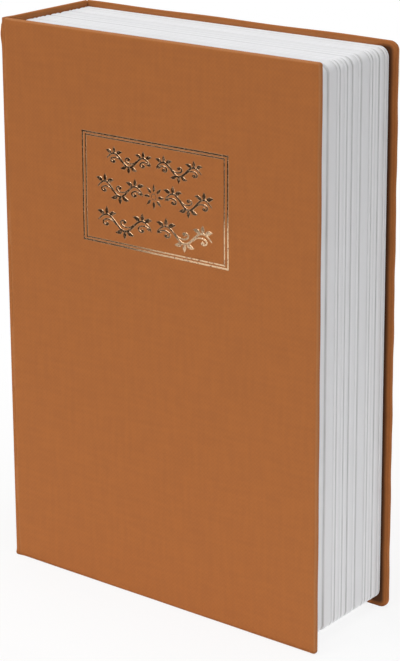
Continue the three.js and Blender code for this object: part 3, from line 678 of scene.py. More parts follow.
@dataclass(frozen=True)
class MouldedPlastic(Finish):
    """White polypropylene moulded in a spark-eroded tool: satin, with a very fine even grain.

    The grooves between the ridges get painted shade, and the shoulder behind each groove gets a painted
    highlight.
    """

    # Painted shade in the grooves, and painted highlight on the shoulders
    groove_shade_colour: str = "#B9B8B8"
    highlight_colour: str = "#F6F6F8"
    cloud: float = 25.0
    least_share: float = 0.5
    most_share: float = 0.9

    def material(self) -> Material:
        """Makes the material: its painted groove shade and its painted shoulder highlights follow the piece's
        own shade, unevenly.

        Returns:
            The material.
        """
        material, tree, shader = self.start()
        place = object_place(tree)
        self.grained(tree, shader, place)
        uneven = patches(tree, place, self.cloud, 1.0, self.least_share, self.most_share)
        # The shade attribute: painted shade in the grooves, painted highlight on the shoulders
        shade = add_node(tree, "Attribute", {"attribute_name": SHADE}).outputs["Fac"]
        signed = add_node(tree, "Math", {"operation": "MULTIPLY"}, {0: shade, 1: uneven})
        spread = add_node(tree, "MapRange", {"From Min": -1.0}, {"Value": signed})
        tones = add_node(tree, "ValToRGB", links={0: spread})
        tones.color_ramp.elements[0].color = linear(self.groove_shade_colour)
        tones.color_ramp.elements[1].color = linear(self.highlight_colour)
        tones.color_ramp.elements.new(0.5).color = linear(self.colour)
        tree.links.new(tones.outputs[0], shader.inputs["Base Color"])
        return material


@dataclass(frozen=True)
class PlatedSteel(Finish):
    """Barrel-polished metal, mostly plated: soft reflections, with faint cloudy patches."""

    cloud: float = 4.0
    unevenness: float = 0.08

    def material(self) -> Material:
        """Makes the material: slow noise varies its roughness, and fine noise its relief.

        Returns:
            The material.
        """
        material, tree, shader = self.start()
        place = object_place(tree)
        rough = patches(
            tree, place, self.cloud, 4.0, self.roughness - self.unevenness, self.roughness + self.unevenness)
        tree.links.new(rough.outputs[0], shader.inputs["Roughness"])
        self.grained(tree, shader, place)
        return material


@dataclass(frozen=True)
class StampedFoil(Finish):
    """Metallised stamping foil, pressed into the cloth hot: bright, and thin over the hollows of the weave.

    Where the foil didn't reach, the cloth's own colour shows through it in specks.
    """

    cloth_colour: str = "#8A5A38"
    speck: float = 0.7
    reach: float = 0.62
    fringe: float = 0.06

    def material(self) -> Material:
        """Makes the material: a noise above the reach turns the metal to bare cloth.

        Returns:
            The material.
        """
        material, tree, shader = self.start()
        place = object_place(tree)
        noise = add_node(tree, "TexNoise", {"Scale": per_metre(self.speck)}, {"Vector": place})
        bare = add_node(tree, "MapRange", {
            "From Min": self.reach - self.fringe, "From Max": self.reach + self.fringe}, {"Value": noise})
        metal = add_node(tree, "Math", {"operation": "SUBTRACT", 0: 1.0}, {1: bare})
        mix = add_node(tree, "Mix", {
            "data_type": "RGBA", 6: linear(self.colour), 7: linear(self.cloth_colour)}, {0: bare})
        tree.links.new(mix.outputs[2], shader.inputs["Base Color"])
        tree.links.new(metal.outputs[0], shader.inputs["Metallic"])
        self.grained(tree, shader, place)
        return material


BOOK_CLOTH = BookCloth("brown_book_cloth", "#A9683D", 0.82, grain=0.9, grain_depth=0.05)

# Binder's board pressed from waste paper: dull, with darker and lighter fibres
GREY_BOARD = Mottled("pressed_greyboard", "#8C867A", 0.9, grain=0.6, grain_depth=0.08,
                     dark="#7C766A", light="#98917F", patch=1.2, detail=6.0)

# Uncoated endpaper, calendered smooth and pasted down: even, with the faint cloudy look of its fibres
ENDPAPER = Mottled("cream_endpaper", "#F1EEE6", 0.85, grain=0.5, grain_depth=0.02,
                   dark="#ECE7DB", light="#F4F0E7", patch=3.0, detail=5.0)

PAGE_PLASTIC = MouldedPlastic("white_moulded_polypropylene", "#E8E8EA", 0.5, grain=0.35, grain_depth=0.004)

# Black polyester powder coat, baked on steel: a fine orange-peel skin with a low sheen
BLACK_COAT = Mottled("black_powder_coat", "#1E1E20", 0.5, grain=0.7, grain_depth=0.05,
                     dark="#19191B", light="#222225", patch=1.5)

ZINC_STEEL = PlatedSteel("zinc_plated_steel", "#B9BBBD", 0.34, 1.0, grain=0.8, grain_depth=0.006)

# Pressed spring steel without a coat: darker and duller than the plated pieces
CAM_STEEL = PlatedSteel("pressed_cam_steel", "#77797D", 0.4, 1.0, grain=0.8, grain_depth=0.006)

# Nickel on polished zinc alloy: bright, with sharper reflections than zinc
NICKEL = PlatedSteel(
    "nickel_plated_zinc_alloy", "#D3D2CE", 0.2, 1.0, grain=2.0, grain_depth=0.006, unevenness=0.04)

GOLD_FOIL = StampedFoil("pale_gold_stamping_foil", "#DFBD98", 0.1, 1.0)

MATERIALS: dict[str, Material] = {}


def dress(obj: Object, finish: Finish) -> None:
    """Gives a piece a finish, whose material is made the first time that it is asked for.

    Args:
        obj: the piece.
        finish: its finish.
    """
    if finish.name not in MATERIALS:
        MATERIALS[finish.name] = finish.material()
    obj.data.materials.clear()
    obj.data.materials.append(MATERIALS[finish.name])


def settle(obj: Object, body: str, finish: Finish, slot: str, *nodes: str) -> None:
    """Dresses a piece, makes it ride on a body and lets it stand for its CAD nodes.

    Args:
        obj: the piece.
        body: the body that it rides on.
        finish: its finish.
        slot: the name of its material slot; not used.
        nodes: the CAD nodes that it stands for.
    """
    dress(obj, finish)
    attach(obj, body)
    if nodes:
        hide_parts(*nodes)
    LOG.info("%s: %d faces, on %s", obj.name, len(obj.data.polygons), body)


# Covers

# The ways along the four sides of a face, anticlockwise from the tail
HEADINGS = np.array([(1, 0), (0, 1), (-1, 0), (0, -1)])

# The unevenness of cloth on board, as crossed waves along X and Z and two slanting ones
SWELL_X, SWELL_Z = Wave(0.045, 71, 1.1), Wave(1.0, 53, 0.4)
SWELL_UP, UP_SLOPE = Wave(0.03, 37, 2.0), 0.6
SWELL_DOWN, DOWN_SLOPE = Wave(0.02, 23), 0.4


def swell(x: Array, z: Array) -> Array:
    """How far cloth on board lies off flat, in Y: the product of two waves plus two slanting ones."""
    return SWELL_X.at(x) * SWELL_Z.at(z) + SWELL_UP.at(x + UP_SLOPE * z) + SWELL_DOWN.at(z - DOWN_SLOPE * x)


@dataclass(frozen=True)
class WrappedSheet:
    """Cloth drawn over one face of a board, round its edges and onto its other face.

    The board lies flat in q and z, and h is the depth below its outer face. Four sides go round
    anticlockwise: tail, fore, head and joint. The corners of the fore side are rounded.
    """

    q0: float
    q1: float
    z0: float
    z1: float
    thickness: float
    corner_radius: float
    edge_radius: float
    joint_radius: float
    turn_in: float
    crease: float | None = None
    joint_blend: float = 4.0
    pitch: float = 4.0
    crease_pitch: float = 0.15
    crease_reach: float = 1.8
    band_shares: tuple[float, ...] = (1, 0.7, 0.45, 0.3, 0.21, 0.15)
    # The edge band gets wear and a painted highlight outside and painted shade inside; the case's inner face
    # gets painted shade near the fore edge and past the seam, and the turned-in strip gets painted light
    rubbed: float = 0.6
    wear_and_highlight_shares: Pair = (0.2, 0.3)
    edge_shade_from_share: float = 0.7
    edge_shade_share: float = 0.25
    dark_from: Pair = (0.9, 2.6)
    dark_to: Pair = (6.0, 12.0)
    seam: Pair = (1.9, 2.6)
    seam_share: float = 0.25
    lit_strip_share: float = 0.55

    def lines(self, low: float, high: float, crease: float | None = None) -> Array:
        """The grid's lines across one direction, closer together beside a crease and at the turn-in.

        Args:
            low, high: the face's ends.
            crease: where the face bends, if it does.

        Returns:
            The lines' places, in order.
        """
        inner = np.linspace(
            low + self.turn_in, high - self.turn_in, round((high - low - 2 * self.turn_in) / self.pitch) + 1)
        rim = np.arange(self.pitch / 2, self.turn_in, self.pitch / 2)
        parts = [inner, low + rim, high - rim]
        if crease is not None:
            parts.append(np.arange(crease - self.crease_reach, crease + self.crease_reach, self.crease_pitch))
        return np.unique(np.round(np.concatenate(parts), 6))

    def inner(self, lines: Array, low: float, high: float) -> Array:
        """The lines that lie further in from both ends than the turned-in border."""
        return lines[(lines > low + self.turn_in - MERGE) & (lines < high - self.turn_in + MERGE)]

    def border(self, *lines: Array) -> tuple[Array, Array, Array]:
        """Walks round the board's outline.

        Args:
            lines: the grid's lines across q and across z.

        Returns:
            The outline's points, their outward normals and the edge's radius at each, which rises from the
            joint's radius to the other sides'.
        """
        corners = np.array([(self.q0, self.z0), (self.q1, self.z0), (self.q1, self.z1), (self.q0, self.z1)])
        radii = (0, self.corner_radius, self.corner_radius, 0)
        points, normals = [], []
        for side, (heading, outward) in enumerate(zip(HEADINGS, np.roll(HEADINGS, 1, axis=0))):
            corner, after = corners[side], corners[(side + 1) % 4]
            start, end = radii[side], radii[(side + 1) % 4]
            length = float((after - corner) @ heading)
            along = np.sort(np.abs(lines[side % 2] - corner[side % 2]))
            along = along[(along > start + MERGE) & (along < length - end - MERGE)]
            along = np.concatenate([[start], along, [length - end]])
            points.append(corner + along[:, None] * heading)
            normals.append(np.broadcast_to(outward, (len(along), 2)))
            if end > 0:
                turn = arc((0, 0), 1, (side - 1) * QUARTER, side * QUARTER, 8)[1:-1]
                points.append(after + end * (turn - heading - outward))
                normals.append(turn)
        outline = np.vstack(points)
        share = smooth_step(outline[:, 0] - self.q0, 0, self.joint_blend)
        edge = self.joint_radius + (self.edge_radius - self.joint_radius) * share
        return outline, np.vstack(normals).astype(float), edge

    def profile(self) -> list[Array]:
        """The cloth's way from the outer face round an edge onto the inner face.

        It goes over a band of the outer face, a quarter of a circle, the flat of the edge, a quarter of a
        circle and the turned-in band. Each of these is nine columns, three for each of the results.

        Returns:
            How far in from the outline, how deep, and how far beyond the outline on the flat cloth. Each is
            a row of three numbers: a length, a share of the thickness and a share of the edge's radius.
        """
        bands = self.turn_in * np.array(self.band_shares)
        turn = np.linspace(0, QUARTER, 6)
        later, share = turn[1:], np.linspace(0, 1, 4)[1:]
        parts = [
            (bands, 0, 0, 0, 0, 0, -bands, 0, 0),
            (0, 0, 1 - np.sin(turn), 0, 0, 1 - np.cos(turn), 0, 0, turn - 1),
            (0, 0, 0, 0, share, 1 - 2 * share, 0, share, QUARTER - 1 - 2 * share),
            (0, 0, 1 - np.cos(later), 0, 1, np.sin(later) - 1, 0, 1, QUARTER - 3 + later),
            (bands[::-1], 0, 0, 0, 1, 0, bands[::-1], 1, math.pi - 4),
        ]
        rows = np.vstack([np.column_stack(np.broadcast_arrays(*part)) for part in parts])
        return np.split(rows, 3, axis=1)

    def shade(self, inward: Array, depth: Array, from_fore: Array, tucked: bool) -> Array:
        """How much painted light, painted shade and edge wear the rings get.

        The outer edge is painted lighter along a bell curve of the depth, as wear and as a painted
        highlight, and the inner edge gets painted shade. On the inner face, the turned-in border gets painted
        light up to the seam, away from the fore edge, and painted shade past it, and where the case's cloth
        lies beside the block it gets painted shade near the fore edge.

        Args:
            inward: how far in from the outline each point lies.
            depth: how deep it lies.
            from_fore: how far it is from the fore side.
            tucked: whether it is the case's sheet.

        Returns:
            A number for each point, from -1 for painted shade to 1 for painted light and wear.
        """
        at_edge = inward < self.rubbed
        inner_face = depth > self.thickness - MERGE
        near_fore, past_seam = 1 - smooth_step(from_fore, *self.dark_to), smooth_step(inward, *self.seam)
        middle, width = (share * self.thickness for share in self.wear_and_highlight_shares)
        # Edge wear and a painted highlight on the outer rounding
        lightened = bell(depth, middle, width) * at_edge
        # Painted shade on the inner rounding
        edge_shade = smooth_step(depth, self.edge_shade_from_share * self.thickness, self.thickness) * at_edge
        # Painted shade beside the block near the fore edge, and past the seam
        block_shade = np.maximum(smooth_step(inward, *self.dark_from) * near_fore, self.seam_share * past_seam)
        # Painted light on the turned-in strip before the seam
        strip = self.lit_strip_share * inner_face * (1 - past_seam) * (1 - near_fore)
        return np.maximum(lightened, strip) - np.maximum(self.edge_shade_share * edge_shade, block_shade * inner_face * tucked)

    def make(self, name: str, place: Place, tucked: bool = False) -> Object:
        """Makes the sheet: a grid over the middle of the face, and rings from its border round the edges.

        A ring's point is the outline's point less its normal times how far in it lies, held inside the
        rectangle that is as far in, so that the rings meet in a mitre at each corner.

        Args:
            name: the piece's name.
            place: turns arrays of q, z and h into points in space.
            tucked: whether it is the case's sheet, whose outer face looks along +Y at the back and whose
                turned-in border lies close beside the block, where it gets painted shade.

        Returns:
            The open sheet, with its flat map.
        """
        q_lines, z_lines = self.lines(self.q0, self.q1, self.crease), self.lines(self.z0, self.z1)
        outline, normals, radii = self.border(q_lines, z_lines)
        inward, depth, beyond = (
            rows[:, :1] + rows[:, 1:2] * self.thickness + rows[:, 2:] * radii for rows in self.profile())
        room = inward[..., None]
        spots = np.clip(outline - normals * room, (self.q0, self.z0) + room, (self.q1, self.z1) - room)
        flat_rings = np.where(beyond[..., None] <= 0, spots, outline + normals * beyond[..., None])
        middle = np.stack(np.meshgrid(
            self.inner(q_lines, self.q0, self.q1), self.inner(z_lines, self.z0, self.z1)), axis=-1)
        blocks = [
            grid_faces(*inward.shape, closed=True)[:, ::-1], grid_faces(*middle.shape[:2]) + inward.size]
        grid = middle.reshape(-1, 2)
        q, z = np.vstack([spots.reshape(-1, 2), grid]).T
        shade = self.shade(inward, depth, self.q1 - spots[..., 0], tucked)
        shade, h = (np.append(values, np.zeros(len(grid))) for values in (shade, depth))
        skin = Skin(place(q, z, h), [rows[:, ::-1] if tucked else rows for rows in blocks])
        obj = make_object(name, skin, np.vstack([flat_rings.reshape(-1, 2), grid]), shade, closed=False)
        return smooth(obj, 50)


@dataclass
class Covers:
    """The case: cloth over boards at the front, spine and back, the bending joint, and what lines them.

    Each bulge of the joint's strip is its height, its distance from the end of the case and its width. The
    draw-in is its depth and its reach from the head, and so are the sink and the crease's sink.
    """

    cloth: float = 0.35
    board_edge_radius: float = 1.1
    joint_edge_radius: float = 0.4
    spine_radius: float = 1.2
    front_corner_radius: float = 1.2
    back_corner_radius: float = 3.8
    turn_in: float = 12.0
    overlap: float = 0.8
    proud: float = 0.02
    edge_reach: float = 2.5
    front_trim: Wave = Wave(0.07, 43, 0.8)
    back_trims: tuple[Wave, Wave] = (Wave(0.1, 38, 0.7), Wave(0.06, 17, 2.1))
    head_sag: Wave = Wave(0.12, 61, 1.9)
    crease_sink: Pair = (0.5, 1.1)
    crease_width: float = 0.4
    fold: float = 0.5
    strip_turn_in: float = 7.0
    close_at_tail: float = 6.0
    close_at_head: float = 16.0
    head_bulge: tuple[float, float, float] = (0.45, 7.0, 3.2)
    tail_bulge: tuple[float, float, float] = (0.25, 1.0, 1.0)
    draw_in: Pair = (0.55, 3.5)
    head_sink: Pair = (0.9, 1.6)
    endpaper: float = 0.2
    endpaper_sink: float = 0.25
    endpaper_rim: float = 14.0
    sink_reach: Pair = (0.6, 1.6)
    paper_swell_share: float = 0.2
    paper_shift: float = 13.0

    def __post_init__(self) -> None:
        """Reads the places that the CAD gives."""
        self.case = Extent.of("case_cloth")
        self.front = Extent.of("front_cloth")
        self.lining = Extent.of("front_endpaper")
        self.thickness = self.front.y1 - self.front.y0
        self.straight = self.case.y1 - self.spine_radius - self.case.y0
        self.around = self.spine_radius * QUARTER

    def front_place(self, q: Array, z: Array, h: Array) -> Array:
        """Puts X at q, a little wavy at the free edge, and Y at the outer face plus depth and swell."""
        x = q + bell(q, self.front.x1, self.edge_reach) * self.front_trim.at(z)
        return np.column_stack([x, self.front.y0 + h + swell(q, z) * (1 - h / self.thickness), z])

    def case_place(self, q: Array, z: Array, h: Array) -> Array:
        """Puts the cloth of the spine and the back in space.

        The outer face goes straight along the spine, through a quarter of a circle and straight along the
        back. A point lies between its place on that line and its nearest place on the inner line, at the
        share that its depth is of the thickness. The head and tail edges sink in a crease at the corner,
        where there is no board, and the free edge is a little wavy.

        Args:
            q, z, h: how far along, how far up and how deep each point lies.

        Returns:
            The points, one row each.
        """
        case, share = self.case, h / self.thickness
        bend = np.clip((q - self.straight) / self.spine_radius, 0, QUARTER)
        reach = np.maximum(q - self.straight - self.around, 0)
        x = case.x0 + self.spine_radius * (1 - np.cos(bend)) + reach
        y = case.y0 + np.minimum(q, self.straight) + self.spine_radius * np.sin(bend)
        x = x + bell(x, case.x1, self.edge_reach) * sum(wave.at(z) for wave in self.back_trims)
        y = y + swell(q, z) * (1 - share) * (bend >= QUARTER)
        middle, (depth, width) = self.straight + self.around / 2, self.crease_sink
        at_tail, at_head = bell(z, case.z0, width), bell(z, case.z1, width)
        sink = depth * bell(q, middle, self.crease_width) * (at_tail - at_head)
        sag = self.head_sag.at(q) * (q > middle) * at_head
        return np.column_stack([x + (np.maximum(x, case.x0 + self.thickness) - x) * share,
                                y + (np.minimum(y, case.y1 - self.thickness) - y) * share, z + sink + sag])

    def wrap(self, name: str, body: str, node: str, place: Place, span: Pair, radius: float,
             boards: Sequence[str], crease: float | None = None, pieces: Sequence[Object] = ()) -> None:
        """Args:
            name: the cloth's name.
            body: the body that it rides on.
            node: the CAD node that it stands for.
            place: puts the cloth in space.
            span: the ends of its outer face along q.
            radius: the radius of the corners of its fore side.
            boards: the nodes of the boards that it is stretched over.
            crease: where its face bends, along q, for the case's cloth.
            pieces: other pieces of the same cloth; not used.
        """
        box = Extent.of(node)
        sheet = WrappedSheet(*span, box.z0, box.z1, self.thickness, radius, self.board_edge_radius,
                             self.joint_edge_radius, self.turn_in, crease)
        obj = give_wall(sheet.make(name, place, tucked=crease is not None), self.cloth)
        settle(obj, body, BOOK_CLOTH, "book_cloth", node)
        for board in boards:
            dress(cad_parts[board], GREY_BOARD)

    def strip_way(self) -> tuple[Array, Array]:
        """The joint strip's way along Z, and how deep it lies under its outer face.

        It goes from the turn-in at the tail round a half circle, up the outside and over the head in the
        same way.

        Returns:
            The heights and the depths, from the tail to the head.
        """
        fold = self.fold
        head, tail = self.case.z1 - fold, self.case.z0 + fold
        half = np.linspace(0, math.pi, 9)
        rise = runs((tail, tail + self.close_at_tail, 13),
                    (tail + self.close_at_tail, head - self.close_at_head, 30),
                    (head - self.close_at_head, head, 33))[1:-1]
        inside = np.linspace(self.strip_turn_in, 0, 5)[:-1]
        under = np.full(len(inside), 2 * fold)
        z = [tail + inside, tail - fold * np.sin(half), rise, head + fold * np.sin(half), head - inside[::-1]]
        h = [under, fold * (1 + np.cos(half)), np.zeros(len(rise)), fold * (1 - np.cos(half)), under]
        return np.concatenate(z), np.concatenate(h)

    def joint_cloth(self) -> Object:
        """Makes the strip of cloth that bends between the spine and the front cover.

        Across, the strip follows a straight run, a quarter of a circle and a straight run. Near the head it
        stands out a little and then draws in and sinks where the cloth is folded over.

        Returns:
            The strip.
        """
        radius = self.spine_radius + self.proud
        around = radius * QUARTER
        centre_x, centre_y = self.case.x0 + self.spine_radius, self.front.y0 + self.spine_radius
        run = self.case.y0 + self.overlap - centre_y
        reach = self.front.x0 + self.overlap - centre_x
        across = runs((0, run, 5), (run, run + around, 25), (run + around, run + around + reach, 4))
        z, h = self.strip_way()
        travel = np.concatenate([[0], np.cumsum(np.hypot(np.diff(z), np.diff(h)))])
        bend = np.clip((across - run) / radius, 0, QUARTER)
        x = centre_x - radius * np.cos(bend) + np.maximum(across - run - around, 0)
        y = centre_y - radius * np.sin(bend) + np.maximum(run - across, 0)
        from_head, from_tail = self.case.z1 - z, z - self.case.z0
        at_head, at_tail, (draw, draw_reach) = self.head_bulge, self.tail_bulge, self.draw_in
        stand_out = (at_head[0] * bell(from_head, *at_head[1:]) + at_tail[0] * bell(from_tail, *at_tail[1:])
                     - draw * smooth_step(draw_reach - from_head, 0, draw_reach))
        out = stand_out[:, None] * np.sin(2 * bend) - h[:, None]
        sink = self.head_sink[0] * bell(from_head, 0, self.head_sink[1])[:, None] * np.sin(2 * bend)
        points = np.stack([x - out * np.cos(bend), y - out * np.sin(bend), z[:, None] - sink], axis=-1)
        flat = np.stack(np.broadcast_arrays(across, travel[:, None]), axis=-1)
        skin = Skin(points.reshape(-1, 3), [grid_faces(len(z), len(across))])
        obj = smooth(make_object("joint_cloth", skin, flat.reshape(-1, 2), closed=False), 60)
        apply_modifiers(give_wall(obj, self.cloth - self.proud))
        dress(obj, BOOK_CLOTH)
        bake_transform(obj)
        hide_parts("front_joint_cloth")
        LOG.info("%s: %d faces, between case and front_cover", obj.name, len(obj.data.polygons))
        return obj

    def endpaper_sheet(self) -> None:
        """Makes the endpaper inside the front cover, which sinks softly between the turned-in edges."""
        rim, front, lining = self.endpaper_rim, self.front, self.lining
        x, z = (runs((low, low + rim, 22), (low + rim, high - rim, count), (high - rim, high, 22))
                for low, high, count in ((lining.x0, lining.x1, 24), (lining.z0, lining.z1, 36)))
        u, v = np.meshgrid(x, z)
        from_edge = np.minimum.reduce([u - front.x0, front.x1 - u, v - front.z0, front.z1 - v])
        start, end = self.turn_in - self.sink_reach[0], self.turn_in + self.sink_reach[1]
        y = (lining.y1 - self.endpaper_sink * smooth_step(from_edge, start, end)
             + self.paper_swell_share * swell(u + self.paper_shift, v))
        skin = Skin(np.stack([u, y, v], axis=-1).reshape(-1, 3), [grid_faces(*u.shape)[:, ::-1]])
        obj = give_wall(smooth(make_object("endpaper_sheet", skin, closed=False), 60), self.endpaper)
        settle(obj, "front_cover", ENDPAPER, "endpaper", "front_endpaper")

    def build(self) -> None:
        """Makes all of the covers."""
        front, case = self.front, self.case
        self.wrap("front_cover_cloth", "front_cover", "front_cloth", self.front_place,
                  (front.x0, front.x1), self.front_corner_radius, ["front_board"])
        length = self.straight + self.around + case.x1 - case.x0 - self.spine_radius
        self.wrap("case_cover_cloth", "case", "case_cloth", self.case_place, (0, length),
                  self.back_corner_radius, ["back_board", "spine_board"],
                  self.straight + self.around / 2, [self.joint_cloth()])
        self.endpaper_sheet()


# Foil on the front cover


@dataclass
class FoilPanel:
    """The stamped panel on the front cover: two rules round three rows of bookbinder's ornament.

    Each row is its Z, where its stems start and end from the panel's middle, and its height.
    """

    middle_x: float = 0.55
    low_z: float = 150.1
    high_z: float = 194.9
    half_width: float = 36.4
    side_gap: float = 1.65
    end_gap: float = 1.2
    outer_rule: float = 0.85
    inner_rule: float = 0.7
    bevel: float = 0.12
    bevel_share: float = 0.4
    height: float = 0.05
    sunk: float = 0.1
    merge: float = 0.0002
    rows: tuple[tuple[float, ...], ...] = (
        (185.6, 1.4, 23.8, 9.0), (173.2, 5.6, 28.8, 10.2), (159.4, 1.4, 28.8, 10.8))
    bends: int = 3
    stem: float = 1.1
    rise_share: float = 0.26
    stem_thin_share: float = 0.4
    stem_power: float = 0.4
    leaf_tip: float = 0.12
    leaf_power: float = 0.7
    end_leaf: Pair = (2.4, 1.1)
    curl_decay: float = 0.28
    curl_shares: Pair = (0.45, 0.4)
    curl_lift_share: float = 0.6
    curl_drop_share: float = 0.08
    bud: Pair = (1.6, 1.3)
    bud_back: float = 0.8
    spray_step: float = 1.1
    spray_angle: float = 0.9
    spray_bend: float = 0.7
    spray_length_shares: Pair = (0.3, 0.06)
    spray_width_share: float = 0.17
    spray_drop_share: float = 0.08
    rosette_size: float = 5.0
    rosette_line: float = 0.45
    rosette_shares: tuple[float, float, float, float] = (0.24, 0.34, 0.66, 0.26)

    def __post_init__(self) -> None:
        """Reads the place of the cover's face."""
        self.face_y = Extent.of("front_cloth").y0

    def ribbon(self, path: Array, width: float | Array, closed: bool = False) -> Skin:
        """A low crowned line of foil along a path on the cover.

        At each point of the path, seven points lie across it, at heights that are shares of the foil's
        height, and follow the swell of the cloth under them. The middle is flat, both edges slope over the
        bevel's width, or over a share of a narrow line's half, and the outermost points are in the cloth.

        Args:
            path: the points of its middle line, as X and Z.
            width: its width, or its width at each point.
            closed: whether the path's end joins its start.

        Returns:
            The ribbon's skin.
        """
        ahead = np.roll(path, -1, axis=0) - np.roll(path, 1, axis=0)
        if not closed:
            ahead[0], ahead[-1] = path[1] - path[0], path[-1] - path[-2]
        edge_shares = np.array([-1, -1, -1, 0, 1, 1, 1])
        slope_shares = np.array([0, 0.5, 1, 0, -1, -0.5, 0])
        height_shares = np.array([-self.sunk / self.height, 0.5, 1, 1, 1, 0.5, -self.sunk / self.height])
        half = np.broadcast_to(np.asarray(width) / 2, len(path))[:, None]
        across = half * edge_shares + np.minimum(self.bevel, self.bevel_share * half) * slope_shares
        x, z = np.moveaxis(path[:, None] + left(ahead)[:, None] * across[..., None], -1, 0)
        y = self.face_y + swell(x, z) - self.height * height_shares
        rings = np.stack([x, y, z], axis=-1)
        return Skin.through(np.concatenate([rings, rings[:1]]) if closed else rings, capped=not closed)

    def rule(self, inset_x: float, inset_z: float, width: float) -> list[Skin]:
        """One closed rule of the frame, of bars that run half their width past the corners.

        Args:
            inset_x, inset_z: how far inside the panel's sides and ends it lies.
            width: its width.

        Returns:
            The four bars.
        """
        x0, x1 = self.middle_x - self.half_width + inset_x, self.middle_x + self.half_width - inset_x
        z0, z1 = self.low_z + inset_z, self.high_z - inset_z
        corners = np.array([(x0, z0), (x1, z0), (x1, z1), (x0, z1)])
        shares = np.linspace(0, 1, 25)[:, None]
        bars = []
        for corner, after, heading in zip(corners, np.roll(corners, -1, axis=0), HEADINGS):
            first, last = corner - heading * width / 2, after + heading * width / 2
            bars.append(self.ribbon(first + shares * (last - first), width))
        return bars

    def leaf(self, base: Sequence[float], heading: float, length: float, width: float,
             bend: float = 0.0) -> Skin:
        """A pointed leaf: a stroke whose width is a sine with its fullest part near the base.

        Args:
            base: where it starts.
            heading: the angle that it starts at.
            length, width: its size.
            bend: the angle that it turns through.

        Returns:
            The leaf.
        """
        share = np.linspace(0, 1, 15)
        angle = heading + bend * share
        step = length / (len(share) - 1)
        path = np.array(base) + np.cumsum(step * np.column_stack([np.cos(angle), np.sin(angle)]), axis=0)
        return self.ribbon(path, self.leaf_tip + width * np.sin(math.pi * share ** self.leaf_power))

    def curl(self, centre: Sequence[float], reach: float, lift: float) -> Skin:
        """A tendril that winds inwards once from the left of a bend.

        Its distance from the centre falls as e to the minus decay of the angle that it has turned, and its
        height is the lift's share of its width.

        Args:
            centre: what it winds round.
            reach: how far from there it starts.
            lift: its height's share of its width, negative if it hangs.

        Returns:
            The tendril.
        """
        turn = np.linspace(0, 2 * math.pi, 40)
        radius = reach * np.exp(-self.curl_decay * turn)
        path = np.column_stack([radius * np.cos(math.pi - turn), lift * abs(radius) * np.sin(math.pi - turn)])
        least, more = self.curl_shares
        return self.ribbon(np.array(centre) + path, self.stem * (least + more * np.sin(turn / 2)))

    def vine(self, z: float, near: float, far: float, height: float, side: int) -> list[Skin]:
        """A stem that waves from near the middle to one side, with a curl in each bend and leaves outside.

        The stem's height is a sine of the way along it, and it thins out to both ends.

        Args:
            z: its height on the cover.
            near, far: its ends from the panel's middle.
            height: the row's height.
            side: -1 for the left and 1 for the right.

        Returns:
            Its strokes.
        """
        start, end = self.middle_x + side * near, self.middle_x + side * far
        pitch, rise = (end - start) / self.bends, self.rise_share * height
        share = np.linspace(0, 1, 24 * self.bends + 1)
        path = np.column_stack([
            start + share * (end - start), z + rise * np.sin(math.pi * self.bends * share)])
        thin, fullness = self.stem_thin_share, np.sin(math.pi * share) ** self.stem_power
        strokes = [self.ribbon(path, self.stem * (thin + (1 - thin) * fullness)),
                   self.leaf((start, z), QUARTER - side * QUARTER, *self.end_leaf)]
        for bend in range(self.bends):
            x, up = start + (bend + 0.5) * pitch, (-1) ** bend
            low = z - self.curl_drop_share * height * up
            strokes += [self.curl((x, low), pitch / 2, self.curl_lift_share * up),
                        self.leaf((x - self.bud_back, low), 0, *self.bud)]
            for lean in (-1, 0, 1):
                length = self.spray_length_shares[0] + self.spray_length_shares[1] * abs(lean)
                strokes.append(self.leaf(
                    (x + self.spray_step * lean, z + (1 - self.spray_drop_share * abs(lean)) * rise * up),
                    up * (QUARTER - self.spray_angle * lean), length * height,
                    self.spray_width_share * height, -self.spray_bend * lean * up))
        return strokes

    def rosette(self, z: float) -> list[Skin]:
        """Eight leaves round a small ring.

        Args:
            z: its height on the cover.

        Returns:
            Its strokes.
        """
        ring, base, length, width = (share * self.rosette_size for share in self.rosette_shares)
        bases = circle(self.middle_x, z, base, 8)
        return [self.ribbon(circle(self.middle_x, z, ring, 24), self.rosette_line, closed=True),
                *(self.leaf(bases[petal], petal * QUARTER / 2, length, width) for petal in range(8))]

    def build(self) -> None:
        """Makes the panel as one piece that rides on the front cover."""
        strokes = self.rule(0, 0, self.outer_rule) + self.rule(self.side_gap, self.end_gap, self.inner_rule)
        for row in self.rows:
            strokes += self.vine(*row, -1) + self.vine(*row, 1)
        strokes += self.rosette(self.rows[1][0])
        obj = smooth(make_object("foil_panel", Skin.of(strokes), merge=self.merge), 20)
        settle(obj, "front_cover", GOLD_FOIL, "book_cloth")


# Tray, hinge, strike and screws


